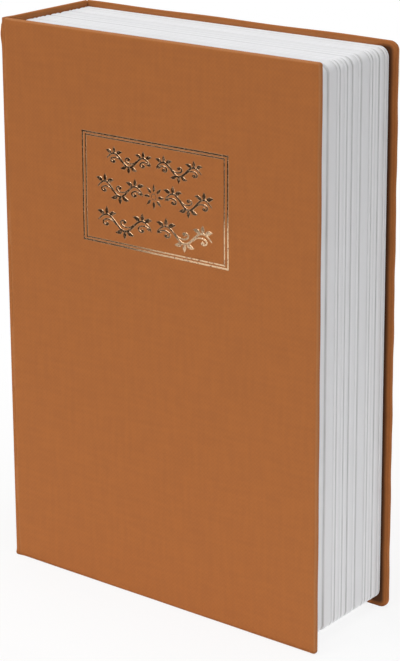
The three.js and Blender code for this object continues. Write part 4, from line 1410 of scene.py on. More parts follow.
@dataclass
class Tray:
    """The pressed steel tray with its flange, hinge leaf, hinge pin, strike and four screws."""

    sheet: float = 0.8
    flange: float = 7.0
    corner_radius: float = 2.5
    flange_radius: float = 4.0
    flange_edge: float = 0.02
    floor_radius: float = 1.6
    lip_radius: float = 0.7
    pressed_edge: float = 0.12
    hole_radius: float = 1.3
    knuckles: int = 5
    knuckle_radius: float = 2.0
    bore_radius: float = 1.2
    gap: float = 0.3
    rolled_edge: float = 0.1
    pin_head: float = 0.8
    pin_radius: float = 0.9
    pin_head_radius: float = 1.7
    pin_dome_radii: Pair = (1.1, 1.6)
    pin_dome_share: float = 0.3
    pin_step: float = 0.01
    strike_sheet: float = 1.2
    strike_bend: float = 0.8
    strike_edge: float = 0.2
    screw_head: float = 1.8
    screw_head_height: float = 1.2
    screw_radius: float = 1.0
    screw_tip: Pair = (0.2, 1.2)
    thread_from: float = 0.4
    thread_depth: float = 0.25
    thread_step: float = 0.35
    dome_from: float = 0.22
    recess: tuple[float, float, float] = (0.6, 0.5, 1.9)

    def __post_init__(self) -> None:
        """Reads the places that the CAD gives."""
        self.pan = Extent.of("steel_tray")
        self.leaf = Extent.of("hinge_leaf")
        self.screws = [Extent.of(f"tray_screw_{number}") for number in range(1, 5)]
        self.axis = self.leaf.x1 - self.knuckle_radius, self.leaf.y0 + self.knuckle_radius

    def inside(self, grow: float, radius: float) -> Array:
        """The outline of the pan's inside, grown outwards."""
        pan, wall = self.pan, self.flange + self.sheet
        return rounded_rectangle(pan.x0 + self.sheet - grow, pan.x1 - wall + grow, pan.z0 + wall - grow,
                                 pan.z1 - wall + grow, radius, 8)

    def ring(self, grow: float, y: float) -> Array:
        """A ring of the pan at one depth."""
        return lifted(self.inside(grow, self.corner_radius + grow), y)

    def holes(self, radius: float, y0: float, y1: float, sides: int = 24) -> Skin:
        """Rods on the axes of the four screws."""
        return Skin.of([rod(*screw.middle(), radius, y0, y1, sides) for screw in self.screws])

    def make_pan(self) -> None:
        """Makes the pan: rings from its floor up the inside, over the flange and down the outside."""
        floor, top, under = self.pan.y1 - self.sheet, self.pan.y0, self.pan.y0 + self.sheet
        inner = [self.ring(-inward, floor - up) for inward, up in edge_arc(self.floor_radius, 5)]
        lip = [self.ring(up, top + inward) for inward, up in edge_arc(self.lip_radius, 5)]
        flange = rounded_rectangle(self.pan.x0, self.pan.x1, self.pan.z0, self.pan.z1,
                                   (SHARP, self.flange_radius, self.flange_radius, SHARP), 8)
        edge = [lifted(inset(flange, inward), top + up) for inward, up in edge_arc(self.flange_edge, 1)]
        outer = [lifted(flange, under), self.ring(self.sheet, under)]
        outer += [self.ring(self.sheet - up, self.pan.y1 - inward)
                  for inward, up in edge_arc(self.floor_radius + self.sheet, 5)]
        obj = make_object("pressed_tray", Skin.through(np.stack([*inner, *lip, *edge, *outer])))
        combine(obj, Join.CUT, self.holes(self.hole_radius, top - OVERRUN, under + OVERRUN))
        settle(soften(obj, self.pressed_edge), "case", BLACK_COAT, "black_paint", "steel_tray")

    def spans(self, first: int) -> list[Pair]:
        """The stretches of the hinge that every second knuckle takes, from the first one given.

        Args:
            first: the number of the first knuckle.

        Returns:
            The low and high end of each.
        """
        low, high = self.leaf.z0 - self.gap / 2, self.leaf.z1 + self.gap / 2
        pitch = (high - low) / self.knuckles
        return [(low + number * pitch + self.gap / 2, low + (number + 1) * pitch - self.gap / 2)
                for number in range(first, self.knuckles, 2)]

    def hinge_rod(self, radius: float, z0: float, z1: float) -> Skin:
        """A rod on the hinge's axis."""
        return rod(*self.axis, radius, z0, z1, 32, Axis.Z)

    def bore(self) -> Skin:
        """The hinge's bore, for cutting."""
        return self.hinge_rod(self.bore_radius, self.leaf.z0 - OVERRUN, self.leaf.z1 + OVERRUN)

    def make_leaf(self) -> None:
        """Makes the hinge's leaf on the tray's side wall, with knuckles that are rolled from it."""
        leaf, y = self.leaf, self.axis[1]
        obj = make_object(
            "hinge_leaf_plate", block(leaf.x1 - self.sheet, leaf.x1, y, leaf.y1, leaf.z0, leaf.z1))
        combine(obj, Join.ADD, *(self.hinge_rod(self.knuckle_radius, *span) for span in self.spans(0)))
        notches = [block(leaf.x1 - self.sheet - OVERRUN, leaf.x1 + OVERRUN, y - OVERRUN,
                         y + self.knuckle_radius + self.gap, z0 - self.gap, z1 + self.gap)
                   for z0, z1 in self.spans(1)]
        combine(obj, Join.CUT, self.bore(), *notches)
        settle(soften(obj, self.rolled_edge), "case", BLACK_COAT, "black_paint", "hinge_leaf")

    def make_pin(self) -> None:
        """Makes the hinge pin, with a domed head at each end."""
        pin, head, (tip, dome) = Extent.of("hinge_pin"), self.pin_head, self.pin_dome_radii
        rows = [(tip, 0), (dome, self.pin_dome_share * head), (self.pin_head_radius, head),
                (self.pin_radius, head + self.pin_step)]
        obj = make_object("hinge_pin_rod", turned(*self.axis, mirrored(rows, pin.z0, pin.z1), 32, Axis.Z))
        settle(smooth(obj, 40), "case", ZINC_STEEL, "zinc_steel", "hinge_pin")

    def make_strike(self) -> None:
        """Makes the strike: an angle bent from strip, with a rounded bend and rounded ends."""
        strike, sheet, bend = Extent.of("strike_bracket"), self.strike_sheet, self.strike_bend
        centre = strike.x1 - bend - sheet, strike.y1 - bend - sheet
        outline = np.vstack([(strike.x1, strike.y0), arc(centre, bend + sheet, 0, QUARTER, 6),
                             (strike.x0, strike.y1), (strike.x0, strike.y1 - sheet),
                             arc(centre, bend, QUARTER, 0, 6), (strike.x1 - sheet, strike.y0)])
        obj = make_object("strike_angle", plate(outline, strike.z0, strike.z1, axis=Axis.Z))
        settle(soften(obj, self.strike_edge), "case", ZINC_STEEL, "zinc_steel", "strike_bracket")

    def make_screw(self, number: int) -> None:
        """Makes one tray screw: a domed head with a cross recess, on a threaded shank.

        Args:
            number: which of the four it is, from one.
        """
        screw = self.screws[number - 1]
        x, z = screw.middle()
        face, (tip_radius, tip) = screw.y0 + self.screw_head_height, self.screw_tip
        dome = [(self.screw_head * math.sin(turn), face - self.screw_head_height * math.cos(turn))
                for turn in np.linspace(self.dome_from, QUARTER, 8)]
        grooves = thread(
            self.screw_radius, self.thread_depth, face + self.thread_from, screw.y1 - tip, self.thread_step)
        profile = [*dome, (self.screw_radius, face), *grooves, (tip_radius, screw.y1)]
        obj = make_object(f"cross_head_screw_{number}", turned(x, z, profile, 32))
        depth, width, length = self.recess
        combine(obj, Join.CUT, *cross(x, z, screw.y0 - OVERRUN, screw.y0 + depth, width, length))
        settle(smooth(obj, 35), "case", ZINC_STEEL, "zinc_steel", f"tray_screw_{number}")

    def build(self) -> None:
        """Makes the tray and what is fixed to it."""
        self.make_pan()
        self.make_leaf()
        self.make_pin()
        self.make_strike()
        for number in range(1, 5):
            self.make_screw(number)


# Page block


@dataclass
class PageBlock:
    """The moulded block of false pages: ridged on its four sides, with a pocket for the tray, cells behind.

    The grooves wander by the sum of two sines, each with its turns round the block, its turns from front to
    back and its share of the height.
    """

    wall: float = 2.0
    corner_radius: float = 4.2
    corner_steps: int = 10
    corner_room: float = 6.0
    spine_corner_radius: float = 0.7
    side_pitch: float = 7.0
    ridge_depth: float = 0.9
    pocket_wall: float = 1.6
    rib: float = 1.6
    pocket_gap: float = 0.5
    rebate_gap: float = 0.1
    rim_floor: float = 2.0
    side_rim: float = 7.7
    trough_depth: float = 4.5
    sheet_radius: float = 3.3
    rebate_radius: float = 4.5
    head_cells: int = 6
    fore_cells: int = 8
    boss_radius: float = 3.0
    boss_length: float = 11.0
    hole_radius: float = 1.3
    hole_depth: float = 8.5
    steps: int = 14
    swell_power: float = 2.2
    spine_share: float = 2.0
    tail_share: float = 2.0
    wander: float = 0.03
    wander_steepness: float = 12.0
    wander_waves: tuple[tuple[float, float, float], ...] = ((7, 9, 1), (13, 17, 0.7))
    # Where the painted highlight lies behind each groove, and the depth from which grooves get painted shade
    highlight_offset: float = 0.8
    highlight_width: float = 0.35
    groove_shade_from: float = 0.04
    side_room: float = 0.1
    groove_place_shares: tuple[float, ...] = (
        0.147, 0.266, 0.308, 0.367, 0.41, 0.483, 0.56, 0.604, 0.727, 0.766, 0.812, 0.861, 0.94, 0.972)
    groove_depth_shares: tuple[float, ...] = (1, 0.35, 1, 0.3, 0.85, 0.9, 0.3, 1, 0.4, 0.9, 0.3, 1, 0.45, 0.6)

    def __post_init__(self) -> None:
        """Reads the place that the CAD gives."""
        self.body = Extent.of("page_block")

    def stations(self) -> tuple[Array, Array]:
        """Where the ridges' rings lie from front to back, and how deep each lies under the crests.

        Between two grooves the depth is the nearer groove's, times one less the root of one less the
        power of the distance from the middle of the swell, where the power and the root are the same.

        Returns:
            The rings' places as shares of the thickness, and their depths.
        """
        places = np.array([0, *self.groove_place_shares, 1])
        end = self.groove_depth_shares[0]
        depths = self.ridge_depth * np.array([end, *self.groove_depth_shares, end])
        along = (1 - np.cos(np.linspace(0, math.pi, self.steps + 1)[:-1])) / 2
        share = places[:-1, None] + along * np.diff(places)[:, None]
        side = np.where(along < 0.5, depths[:-1, None], depths[1:, None])
        under = 1 - (1 - np.abs(2 * along - 1) ** self.swell_power) ** (1 / self.swell_power)
        return np.append(share, 1.0), np.append(side * under, depths[-1])

    def outline(self) -> tuple[Array, Array]:
        """The block's outline over its crests, and the way each point moves for a millimetre of depth.

        Returns:
            The outline's points, and the move of each. Along a side, both run evenly between the corners.
        """
        body, fore, spine = self.body, self.corner_radius, self.spine_corner_radius
        corners = rounded_rectangle(body.x0, body.x1, body.z0, body.z1, (spine, fore, fore, spine),
                                    self.corner_steps).reshape(4, -1, 2)
        moves = np.array([
            (self.spine_share, self.tail_share), (-1, self.tail_share), (-1, -1), (self.spine_share, -1)])
        points, inward = [], []
        for corner, after, move, next_move in zip(corners, np.roll(corners, -1, axis=0), moves,
                                                  np.roll(moves, -1, axis=0)):
            count = int(np.linalg.norm(after[0] - corner[-1]) // self.side_pitch)
            shares = np.linspace(0, 1, count + 1)[1:-1, None]
            points += [corner, corner[-1] + shares * (after[0] - corner[-1])]
            inward += [np.broadcast_to(move, corner.shape), move + shares * (next_move - move)]
        return np.vstack(points), np.vstack(inward)

    def ridged_body(self) -> Skin:
        """The solid block: a ring of the outline at each station, with grooves that wander a little.

        Returns:
            The body.
        """
        share, depth = self.stations()
        outline, inward = self.outline()
        x, z = np.moveaxis(outline + depth[:, None, None] * inward, -1, 0)
        steps = np.linalg.norm(outline - np.roll(outline, 1, axis=0), axis=1)
        turn = 2 * math.pi * (np.cumsum(steps) - steps[0]) / steps.sum()
        share = share[:, None]
        wander = sum(size * np.sin(round_turns * turn + back_turns * share)
                     for round_turns, back_turns, size in self.wander_waves)
        room = np.minimum(1, self.wander_steepness * share * (1 - share))
        y = self.body.y0 + share * (self.body.y1 - self.body.y0) + self.wander * wander * room
        return Skin.through(np.stack([x, y, z], axis=-1))

    def row(self, count: int, low: float, high: float) -> list[Pair]:
        """The ends of a row of equal cells with a rib between each two."""
        size = (high - low - (count - 1) * self.rib) / count
        return [(start, start + size) for start in low + np.arange(count) * (size + self.rib)]

    def build(self, tray: Tray) -> None:
        """Makes the block: cells behind and the pocket, rebate, hinge trough and screw holes in front.

        Args:
            tray: the tray that sits in it.
        """
        body, pan, leaf, gap = self.body, tray.pan, tray.leaf, self.pocket_gap
        wall, rebate_y = self.ridge_depth + self.wall, pan.y0 + tray.sheet + self.rebate_gap
        x0, x1 = leaf.x1 - tray.sheet - gap, pan.x1 - tray.flange + gap
        z0, z1 = pan.z0 + tray.flange - gap, pan.z1 - tray.flange + gap
        side, trough_y1, row_x0 = self.pocket_wall, leaf.y0 + self.trough_depth, body.x0 + wall
        above, back = body.y0 - OVERRUN, body.y1 + OVERRUN
        floor = rebate_y + self.rim_floor
        cells = [block(*across, floor, back, *along)
                 for across in self.row(self.head_cells, row_x0, body.x1 - self.corner_room)
                 for along in ((z1 + side, body.z1 - wall), (body.z0 + wall, z0 - side))]
        cells += [block(*across, y, back, *along)
                  for along in self.row(self.fore_cells, z0 - side + self.rib, z1 + side - self.rib)
                  for across, y in (((x1 + side, body.x1 - wall), floor),
                                    ((row_x0, x0 - side), trough_y1 + self.rim_floor))]
        hollow = make_object("hollow", Skin.of(cells))
        start = rebate_y - OVERRUN
        combine(hollow, Join.CUT, tray.holes(self.boss_radius, start, rebate_y + self.boss_length, 32))
        rebate_z = pan.z0 - gap, pan.z1 + gap
        rebate = rounded_rectangle(
            x0, pan.x1 + gap, *rebate_z, (SHARP, self.rebate_radius, self.rebate_radius, SHARP))
        obj = make_object("moulded_page_block", self.ridged_body())
        combine(obj, Join.CUT, hollow,
                plate(rounded_rectangle(x0, x1, z0, z1, self.sheet_radius), above, back),
                plate(rebate, above, rebate_y),
                block(body.x0 + self.side_rim, x0 + OVERRUN, above, trough_y1, *rebate_z),
                tray.holes(self.hole_radius, start, rebate_y + self.hole_depth))
        self.shade_grooves(obj)
        settle(smooth(obj, 40), "case", PAGE_PLASTIC, "page_plastic", "page_block")

    def shade_grooves(self, obj: Object) -> None:
        """Marks painted shade in the grooves, and a painted highlight on the shoulder behind each.

        The depth in a groove is the distance inside a rectangle with rounded corners: the corner's radius
        less the length of what is past the corner's centre both ways, or less the larger of the two on a
        side. The shoulder is a bell curve a little way behind each groove.

        Args:
            obj: the block.
        """
        points = np.empty(len(obj.data.vertices) * 3, np.float32)
        obj.data.vertices.foreach_get("co", points)
        x, y, z = points.reshape(-1, 3).T / MM
        body, (middle_x, middle_z) = self.body, self.body.middle()
        radius = np.where(x > 0, self.corner_radius, self.spine_corner_radius)
        past_x = np.abs(x - middle_x) - (body.x1 - body.x0) / 2 + radius
        past_z = np.abs(z - middle_z) - (body.z1 - body.z0) / 2 + radius
        outside = np.hypot(np.maximum(past_x, 0), np.maximum(past_z, 0))
        depth = radius - outside - np.minimum(np.maximum(past_x, past_z), 0)
        # Painted shade in the grooves
        groove_shade = smooth_step(depth, self.groove_shade_from, self.ridge_depth / 2)
        grooves = body.y0 + np.array(self.groove_place_shares) * (body.y1 - body.y0)
        # Painted highlight on the shoulder behind each groove
        lightened = bell(y[:, None] - grooves, self.highlight_offset, self.highlight_width).max(axis=1)
        on_side = depth < self.ridge_depth * self.spine_share + self.side_room
        store_shade(obj.data, (lightened * (1 - groove_shade) - groove_shade) * on_side)


# Lid and lock


@dataclass
class Lid:
    """The inner lid: a pressed plate with a skirt, hung on knuckles rolled from it."""

    sheet: float = 1.0
    skirt_gap: float = 0.7
    skirt_depth: float = 4.0
    corner_radius: float = 3.0
    hinge_corner_radius: float = 0.6
    skirt_radius: float = 2.5
    edge_radius: float = 0.35
    pressed_edge: float = 0.15
    barrel_gap: float = 0.3

    def build(self, tray: Tray, lock: "CamLock") -> None:
        """Makes the lid, with the bore of its hinge and the hole for the lock's barrel.

        Args:
            tray: the tray that it is hinged to.
            lock: the lock that it carries.
        """
        lid, x0 = Extent.of("lid"), tray.leaf.x1 + tray.gap
        top, under = lid.y0, lid.y0 + self.sheet
        hinge, fore = self.hinge_corner_radius, self.corner_radius
        outline = rounded_rectangle(x0, lid.x1, lid.z0, lid.z1, (hinge, fore, fore, hinge), 8)
        obj = make_object("pressed_lid", plate(outline, top, under, self.edge_radius))
        outside = tray.inside(-self.skirt_gap, self.skirt_radius)
        inside = inset(outside, self.sheet)
        rings = [lifted(ring, y) for ring, y in (
            (outside, top + self.sheet / 2), (outside, under + self.skirt_depth),
            (inside, under + self.skirt_depth), (inside, top + self.sheet / 2))]
        combine(obj, Join.ADD, Skin.through(np.stack([*rings, rings[0]]), capped=False))
        for z0, z1 in tray.spans(1):
            combine(obj, Join.ADD, block(tray.axis[0], x0 + OVERRUN, top, under, z0, z1),
                    tray.hinge_rod(tray.knuckle_radius, z0, z1))
        combine(obj, Join.CUT, tray.bore(), lock.barrel(self.barrel_gap, top - OVERRUN, under + OVERRUN))
        settle(soften(obj, self.pressed_edge), "lid", BLACK_COAT, "black_paint", "lid")


@dataclass
class CamLock:
    """The cam lock: housing, washer and nut on the lid, and the plug, cam, washer and screw that turn.

    An edge is rows of how far in from a radius and how far behind the front. A room is how far a thread or
    the grooves stay from either end, and the keyway is its outline from the lock's middle, with its ward.
    """

    sides: int = 72
    gap: float = 0.3
    core_radius: float = 1.0
    barrel_radius: float = 7.5
    barrel_flats: float = 13.0
    barrel_neck: float = 0.5
    barrel_shoulder: float = 0.7
    barrel_chamfer: float = 0.5
    barrel_room: Pair = (1.2, 0.7)
    barrel_groove: float = 0.45
    barrel_step: float = 0.5
    bezel_height: float = 1.7
    bezel_edge: tuple[Pair, ...] = ((0.9, 0), (0.6, 0.1), (0.1, 0.65), (0, 0.9))
    bezel_chamfer: float = 0.15
    mouth_edge: tuple[Pair, ...] = ((-0.5, -0.5), (-0.3, 0), (0, 0.3))
    plug_head_height: float = 1.2
    plug_radius: float = 5.5
    plug_head_radius: float = 6.3
    plug_edge: tuple[Pair, ...] = ((4.8, 0.25), (1.1, 0.2), (0.75, 0), (0.2, 0), (0, 0.2))
    groove_room: Pair = (1.2, 1.0)
    groove_pitch: float = 1.4
    groove: Pair = (0.35, 0.5)
    groove_slope: float = 0.02
    tang: float = 5.0
    tang_radius: float = 0.4
    tang_edge: float = 0.15
    cam_gap: float = 0.1
    keyway: tuple[Pair, ...] = (
        (-0.7, -3.8), (0, -3.8), (0, -1.6), (0.7, -1.2), (0.7, 3.8), (0, 3.8), (0, 1.9), (-0.4, 1.5),
        (-0.4, 0.2), (-0.7, -0.2))
    keyway_depth: float = 9.0
    washer_teeth: int = 12
    tooth_steepness: float = 1.6
    nut_flats: float = 18.0
    nut_chamfer: Pair = (0.2, 0.8)
    nut_mouth: Pair = (1.4, 0.6)
    hub_radius: float = 5.0
    tip_radius: float = 3.5
    reach: float = 15.0
    cam_edge: float = 0.3
    cam_hole_radius: float = 0.5
    washer_edge: float = 0.12
    screw_radius: float = 1.5
    screw_hole_depth: float = 6.0
    screw_chamfer: float = 0.4
    screw_room: float = 0.6
    screw_groove: float = 0.25
    screw_step: float = 0.35
    screw_head_radius: float = 3.2
    screw_head_height: float = 2.0
    screw_dome: float = 1.2
    recess: tuple[float, float, float] = (0.9, 0.6, 3.0)

    def __post_init__(self) -> None:
        """Reads the places that the CAD gives."""
        self.housing = Extent.of("lock_housing")
        self.plug = Extent.of("lock_plug")
        self.cam = Extent.of("lock_cam")
        self.x, self.z = self.housing.middle()

    def turn(self, *profile: Pair, sides: int | None = None) -> Skin:
        """A piece turned about the lock's axis."""
        return turned(self.x, self.z, profile, sides or self.sides)

    def bore(self, node: Extent, radius: float, sides: int) -> Skin:
        """A rod on the lock's axis, right through a piece."""
        return rod(self.x, self.z, radius, node.y0 - OVERRUN, node.y1 + OVERRUN, sides)

    def square(self, half: float, radius: float) -> Array:
        """A square outline round the lock's axis."""
        return rounded_rectangle(self.x - half, self.x + half, self.z - half, self.z + half, radius, 3)

    def barrel(self, grow: float, y0: float, y1: float) -> Skin:
        """The barrel's section, round with two flats, grown by a clearance.

        Args:
            grow: the clearance.
            y0, y1: its ends.

        Returns:
            The closed body.
        """
        half = self.barrel_flats / 2 + grow
        outline = circle(0, 0, self.barrel_radius + grow, self.sides)
        outline[:, 1] = np.clip(outline[:, 1], -half, half)
        return plate(outline + (self.x, self.z), y0, y1)

    def make_housing(self) -> None:
        """Makes the housing: a turned bezel, and a barrel with threads that its two flats cut away."""
        y0, y1 = self.housing.y0, self.housing.y1
        radius, half = (self.housing.x1 - self.housing.x0) / 2, self.barrel_flats / 2
        bezel_y1, barrel, core = y0 + self.bezel_height, self.barrel_radius, self.core_radius
        after, before = self.barrel_room
        grooves = thread(barrel, self.barrel_groove, bezel_y1 + after, y1 - before, self.barrel_step)
        obj = make_object("lock_barrel_housing", self.turn(
            (core, bezel_y1 - self.barrel_neck), (barrel, bezel_y1 - self.barrel_neck),
            (barrel, bezel_y1 + self.barrel_shoulder), *grooves, (barrel - self.barrel_chamfer, y1)))
        combine(obj, Join.KEEP, block(
            self.x - radius, self.x + radius, y0, y1 + OVERRUN, self.z - half, self.z + half))
        chamfer, head = self.bezel_chamfer, self.plug_head_radius + self.gap
        combine(obj, Join.ADD, self.turn(
            (core, y0), *((radius - inward, y0 + up) for inward, up in self.bezel_edge),
            (radius, bezel_y1 - chamfer), (radius - chamfer, bezel_y1), (core, bezel_y1), sides=96))
        room, narrow = y0 + self.plug_head_height + 2 * self.gap, self.plug_radius + self.gap
        combine(obj, Join.CUT, self.turn(
            *((head - inward, y0 + up) for inward, up in self.mouth_edge),
            (head, room), (narrow, room), (narrow, y1 + OVERRUN)))
        settle(smooth(obj, 30), "lid", NICKEL, "nickel", "lock_housing")

    def make_plug(self) -> None:
        """Makes the plug: a dished head with a warded keyway, a grooved core and a square tang."""
        y0, y1, head, core = self.plug.y0, self.plug.y1, self.plug_head_radius, self.plug_radius
        head_y1, core_y1 = y0 + self.plug_head_height, self.cam.y0 - self.cam_gap
        (after, before), (depth, width), slope = self.groove_room, self.groove, self.groove_slope
        grooves = [(core - inward, y + up) for y in np.arange(head_y1 + after, core_y1 - before,
                                                              self.groove_pitch)
                   for inward, up in ((0, 0), (depth, slope), (depth, width), (0, width + slope))]
        obj = make_object("keyed_plug", self.turn(
            *((head - inward, y0 + up) for inward, up in self.plug_edge),
            (head, head_y1), (core, head_y1), *grooves, (core, core_y1)))
        square = self.square(self.tang / 2, self.tang_radius)
        combine(obj, Join.ADD, plate(square, core_y1 - OVERRUN, y1, self.tang_edge))
        keyway, radius = np.array(self.keyway) + (self.x, self.z), self.screw_radius + self.gap
        combine(obj, Join.CUT, plate(keyway, y0 - OVERRUN, y0 + self.keyway_depth),
                rod(self.x, self.z, radius, y1 - self.screw_hole_depth, y1 + OVERRUN, 32))
        settle(smooth(obj, 30), "lock_core", NICKEL, "nickel", "lock_plug")

    def make_washer(self) -> None:
        """Makes the lock washer: its outline's radius swings between root and tip once for each tooth."""
        washer = Extent.of("lock_washer")
        tip, bore = (washer.x1 - washer.x0) / 2, self.barrel_radius + self.gap
        root = (tip + bore) / 2
        steps = self.washer_teeth * 8
        angle = np.arange(steps) * 2 * math.pi / steps
        swing = np.clip(self.tooth_steepness * np.cos(self.washer_teeth * angle), -1, 1)
        radius = (tip + root) / 2 + swing * (tip - root) / 2
        outline = circle(0, 0, 1, steps) * radius[:, None] + (self.x, self.z)
        obj = make_object("toothed_washer", plate(outline, washer.y0, washer.y1))
        combine(obj, Join.CUT, self.bore(washer, bore, self.sides))
        settle(smooth(obj, 40), "lid", ZINC_STEEL, "zinc_steel", "lock_washer")

    def make_nut(self) -> None:
        """Makes the nut: a hexagon whose corners a turned cone takes off at both faces."""
        nut, flat, bore = Extent.of("lock_nut"), self.nut_flats / 2, self.barrel_radius + self.gap
        corner = flat / math.cos(math.pi / 6)
        (inward, fall), (grow, sink) = self.nut_chamfer, self.nut_mouth
        obj = make_object("hexagon_nut", plate(circle(self.x, self.z, corner, 6), nut.y0, nut.y1))
        combine(obj, Join.KEEP, self.turn(*mirrored([(flat - inward, 0), (corner, fall)], nut.y0, nut.y1)))
        combine(obj, Join.CUT, self.turn(*mirrored([(bore + grow, -fall), (bore, sink)], nut.y0, nut.y1)))
        settle(smooth(obj, 30), "lid", ZINC_STEEL, "zinc_steel", "lock_nut")

    def make_cam(self) -> None:
        """Makes the cam: a plate with a round hub and a narrower round tip, joined by tangent lines."""
        tip_z = self.z - self.reach + self.tip_radius
        slope = math.asin((self.hub_radius - self.tip_radius) / (self.z - tip_z))
        outline = np.vstack([
            arc((self.x, self.z), self.hub_radius, -slope, math.pi + slope, 24),
            arc((self.x, tip_z), self.tip_radius, math.pi + slope, 2 * math.pi - slope, 18)])
        obj = make_object("pressed_cam", plate(outline, self.cam.y0, self.cam.y1, self.cam_edge))
        square = self.square(self.tang / 2 + self.gap, self.cam_hole_radius)
        combine(obj, Join.CUT, plate(square, self.cam.y0 - OVERRUN, self.cam.y1 + OVERRUN))
        settle(smooth(obj, 35), "lock_core", CAM_STEEL, "cam_steel", "lock_cam")

    def make_cam_washer(self) -> None:
        """Makes the plain washer under the cam's screw."""
        washer, edge = Extent.of("cam_washer"), self.washer_edge
        outer = (washer.x1 - washer.x0) / 2
        rows = [(self.core_radius, 0), (outer - edge, 0), (outer, edge)]
        obj = make_object("plain_washer", self.turn(*mirrored(rows, washer.y0, washer.y1), sides=64))
        combine(obj, Join.CUT, self.bore(washer, self.screw_radius + self.gap, 32))
        settle(smooth(obj, 35), "lock_core", ZINC_STEEL, "zinc_steel", "cam_washer")

    def make_cam_screw(self) -> None:
        """Makes the cam's screw: a pan head with a cross recess, on a threaded shank."""
        screw, shank, head = Extent.of("cam_screw"), self.screw_radius, self.screw_head_radius
        face, top, room = screw.y1 - self.screw_head_height, screw.y1, self.screw_room
        grooves = thread(shank, self.screw_groove, screw.y0 + room, face - room, self.screw_step)
        dome = [(head - inward, top - up) for inward, up in edge_arc(self.screw_dome, 5)[::-1]]
        obj = make_object("cam_cross_screw", self.turn(
            (shank - self.screw_chamfer, screw.y0), *grooves, (shank, face), (head, face), *dome, sides=48))
        depth, width, length = self.recess
        combine(obj, Join.CUT, *cross(self.x, self.z, top - depth, top + OVERRUN, width, length))
        settle(smooth(obj, 35), "lock_core", ZINC_STEEL, "zinc_steel", "cam_screw")

    def build(self) -> None:
        """Makes the lock."""
        self.make_housing()
        self.make_plug()
        self.make_washer()
        self.make_nut()
        self.make_cam()
        self.make_cam_washer()
        self.make_cam_screw()


# Studio

WHITE = linear("#FFFFFF")


def towards(azimuth: float, elevation: float) -> Array:
    """The unit vector at an azimuth from the front and an elevation, both in degrees."""
    turn, lift = math.radians(azimuth), math.radians(elevation)
    return np.array([math.sin(turn) * math.cos(lift), -math.cos(turn) * math.cos(lift), math.sin(lift)])


@dataclass(frozen=True)
class Lamp:
    """A soft square lamp that looks at the middle of the book, with its distance and size in metres."""

    name: str
    azimuth: float
    elevation: float
    distance: float
    size: float
    power: float


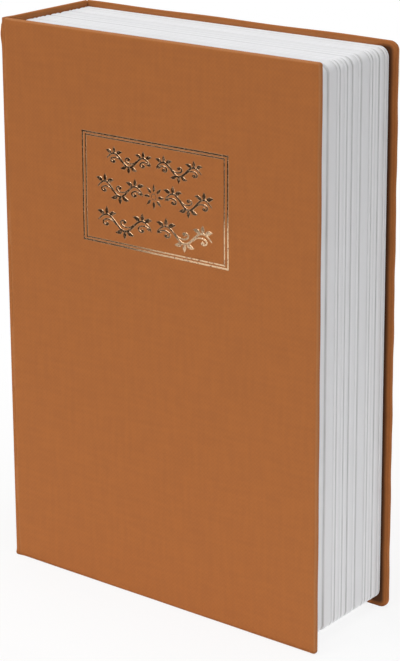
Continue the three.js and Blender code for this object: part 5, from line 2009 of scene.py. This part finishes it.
@dataclass
class Studio:
    """The camera at the photograph's angle, a pale floor, plain soft lamps and a white surround.

    The camera's place is in millimetres, and its focal length in the photograph's pixels. The floor, its
    fade and the dark card are in metres.
    """

    azimuth: float = 37.898
    elevation: float = 15.030
    distance: float = 870.448
    target_x: float = 2.492
    target_z: float = 167.169
    focal: float = 2166.43
    roll: float = -0.326
    shift: float = -0.2
    clip_start: float = 0.01
    sky_light: float = 0.14
    floor_radius: float = 6.0
    floor_sides: int = 96
    inner_share: float = 0.02
    fade_start: float = 0.09
    fade_end: float = 0.34
    paleness: float = 0.85
    card_near: float = 0.32
    card_far: float = 2.4
    card_height: float = 0.001
    card_colour: str = "#3A3028"
    aim_z: float = 0.118
    lamps: tuple[Lamp, ...] = (
        Lamp("left_lamp", -22, 13, 4.0, 1.8, 50.8),
        Lamp("right_lamp", 92, 15, 4.0, 1.0, 14.8),
        Lamp("top_lamp", 0, 85, 2.6, 1.6, 47.5),
        Lamp("table_lamp", 0, -90, 0.117, 0.7, 0.6),
    )

    def camera(self) -> None:
        """Makes the camera: its own axes from azimuth and elevation, rolled, and looking at the target."""
        turn, roll = math.radians(self.azimuth), math.radians(self.roll)
        back = towards(self.azimuth, self.elevation)
        level = np.array([math.cos(turn), math.sin(turn), 0])
        above = np.cross(back, level)
        right = level * math.cos(roll) + above * math.sin(roll)
        up = above * math.cos(roll) - level * math.sin(roll)
        place = (np.array([self.target_x, 0, self.target_z]) + back * self.distance) * MM
        data = bpy.data.cameras.new("camera")
        data.sensor_width = SENSOR
        data.lens = self.focal / FRAME_HEIGHT * SENSOR
        data.shift_y = self.shift
        data.clip_start = self.clip_start
        camera = bpy.data.objects.new("camera", data)
        camera.matrix_world = Matrix([*np.column_stack([right, up, back, place]).tolist(), (0, 0, 0, 1)])
        bpy.context.scene.collection.objects.link(camera)
        bpy.context.scene.camera = camera

    def seen_share(self, tree: NodeTree) -> Node:
        """One for a ray from the camera, from a reflection or through something clear, and else nothing.

        Args:
            tree: the node tree that it is for.

        Returns:
            The node that gives it.
        """
        path = add_node(tree, "LightPath").outputs
        mirrored_or_clear = add_node(tree, "Math", {"operation": "MAXIMUM"},
                                     {0: path["Is Glossy Ray"], 1: path["Is Transmission Ray"]})
        return add_node(
            tree, "Math", {"operation": "MAXIMUM"}, {0: path["Is Camera Ray"], 1: mirrored_or_clear})

    def floor(self) -> None:
        """Makes the floor: pale near the book, where it takes the shadow, and plain white further out."""
        sides = self.floor_sides
        outline = circle(0, 0, self.floor_radius / MM, sides)
        rings = np.stack([lifted(outline * share, 0, Axis.Z) for share in (1.0, self.inner_share)])
        inner = np.arange(sides)[None, :] + sides
        skin = Skin(rings.reshape(-1, 3), [grid_faces(2, sides, closed=True), inner])
        obj = make_object("floor", skin, closed=False)
        material, tree = new_material("pale_floor")
        diffuse = add_node(tree, "BsdfDiffuse", {"Color": WHITE})
        glow = add_node(tree, "Emission", {"Color": WHITE})
        away = add_node(tree, "VectorMath", {"operation": "LENGTH"}, {0: object_place(tree)})
        fade = add_node(tree, "MapRange", {
            "interpolation_type": "SMOOTHSTEP", "From Min": self.fade_start, "From Max": self.fade_end,
            "To Min": self.paleness}, {"Value": away.outputs["Value"]})
        share = add_node(tree, "Math", {"operation": "MULTIPLY"}, {0: fade, 1: self.seen_share(tree)})
        mix = add_node(tree, "MixShader", links={0: share, 1: diffuse, 2: glow})
        add_node(tree, "OutputMaterial", links={"Surface": mix})
        obj.data.materials.append(material)

    def dark_card(self) -> None:
        """Lays a dark card on the floor to the left, which only mirror-like surfaces see.

        It gives the foil and the plated metal something dark to reflect beside the white floor.
        """
        far, near = -self.card_far / MM, -self.card_near / MM
        corners = np.array([(far, far), (near, far), (near, -far), (far, -far)])
        skin = Skin(lifted(corners, self.card_height / MM, Axis.Z), [np.arange(4)[None, :]])
        obj = make_object("dark_card", skin, closed=False)
        material, tree = new_material("dark_card")
        shade = add_node(tree, "Emission", {"Color": linear(self.card_colour)})
        add_node(tree, "OutputMaterial", links={"Surface": shade})
        obj.data.materials.append(material)
        obj.visible_camera = obj.visible_diffuse = obj.visible_shadow = obj.visible_transmission = False

    def surround(self) -> None:
        """Makes the world: white where it is seen, and dimmer as a light."""
        world = bpy.data.worlds.new("surround")
        bpy.context.scene.world = world
        world.use_nodes = True
        tree = world.node_tree
        tree.nodes.clear()
        strength = add_node(tree, "MapRange", {"To Min": self.sky_light}, {"Value": self.seen_share(tree)})
        light = add_node(tree, "Background", {"Color": WHITE}, {"Strength": strength})
        add_node(tree, "OutputWorld", links={"Surface": light})

    def light(self) -> None:
        """Hangs the lamps, each turned to the middle of the book."""
        for lamp in self.lamps:
            away = Vector(towards(lamp.azimuth, lamp.elevation).tolist())
            data = bpy.data.lights.new(lamp.name, "AREA")
            data.energy = lamp.power
            data.size = lamp.size
            obj = bpy.data.objects.new(lamp.name, data)
            obj.location = Vector((0, 0, self.aim_z)) + away * lamp.distance
            obj.rotation_euler = away.to_track_quat("Z", "Y").to_euler()
            obj.visible_camera = False
            obj.visible_glossy = lamp.elevation > 0
            bpy.context.scene.collection.objects.link(obj)

    def build(self) -> None:
        """Sets up the studio."""
        bpy.context.scene.view_settings.view_transform = "Standard"
        self.camera()
        self.floor()
        self.dark_card()
        self.surround()
        self.light()


def main() -> None:
    """Builds the safe and its studio."""
    logging.basicConfig(level=logging.INFO, format="%(message)s", stream=sys.stdout)
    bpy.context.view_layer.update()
    Studio().build()
    Covers().build()
    FoilPanel().build()
    tray = Tray()
    PageBlock().build(tray)
    tray.build()
    lock = CamLock()
    Lid().build(tray, lock)
    lock.build()


if __name__ == "__main__":
    main()
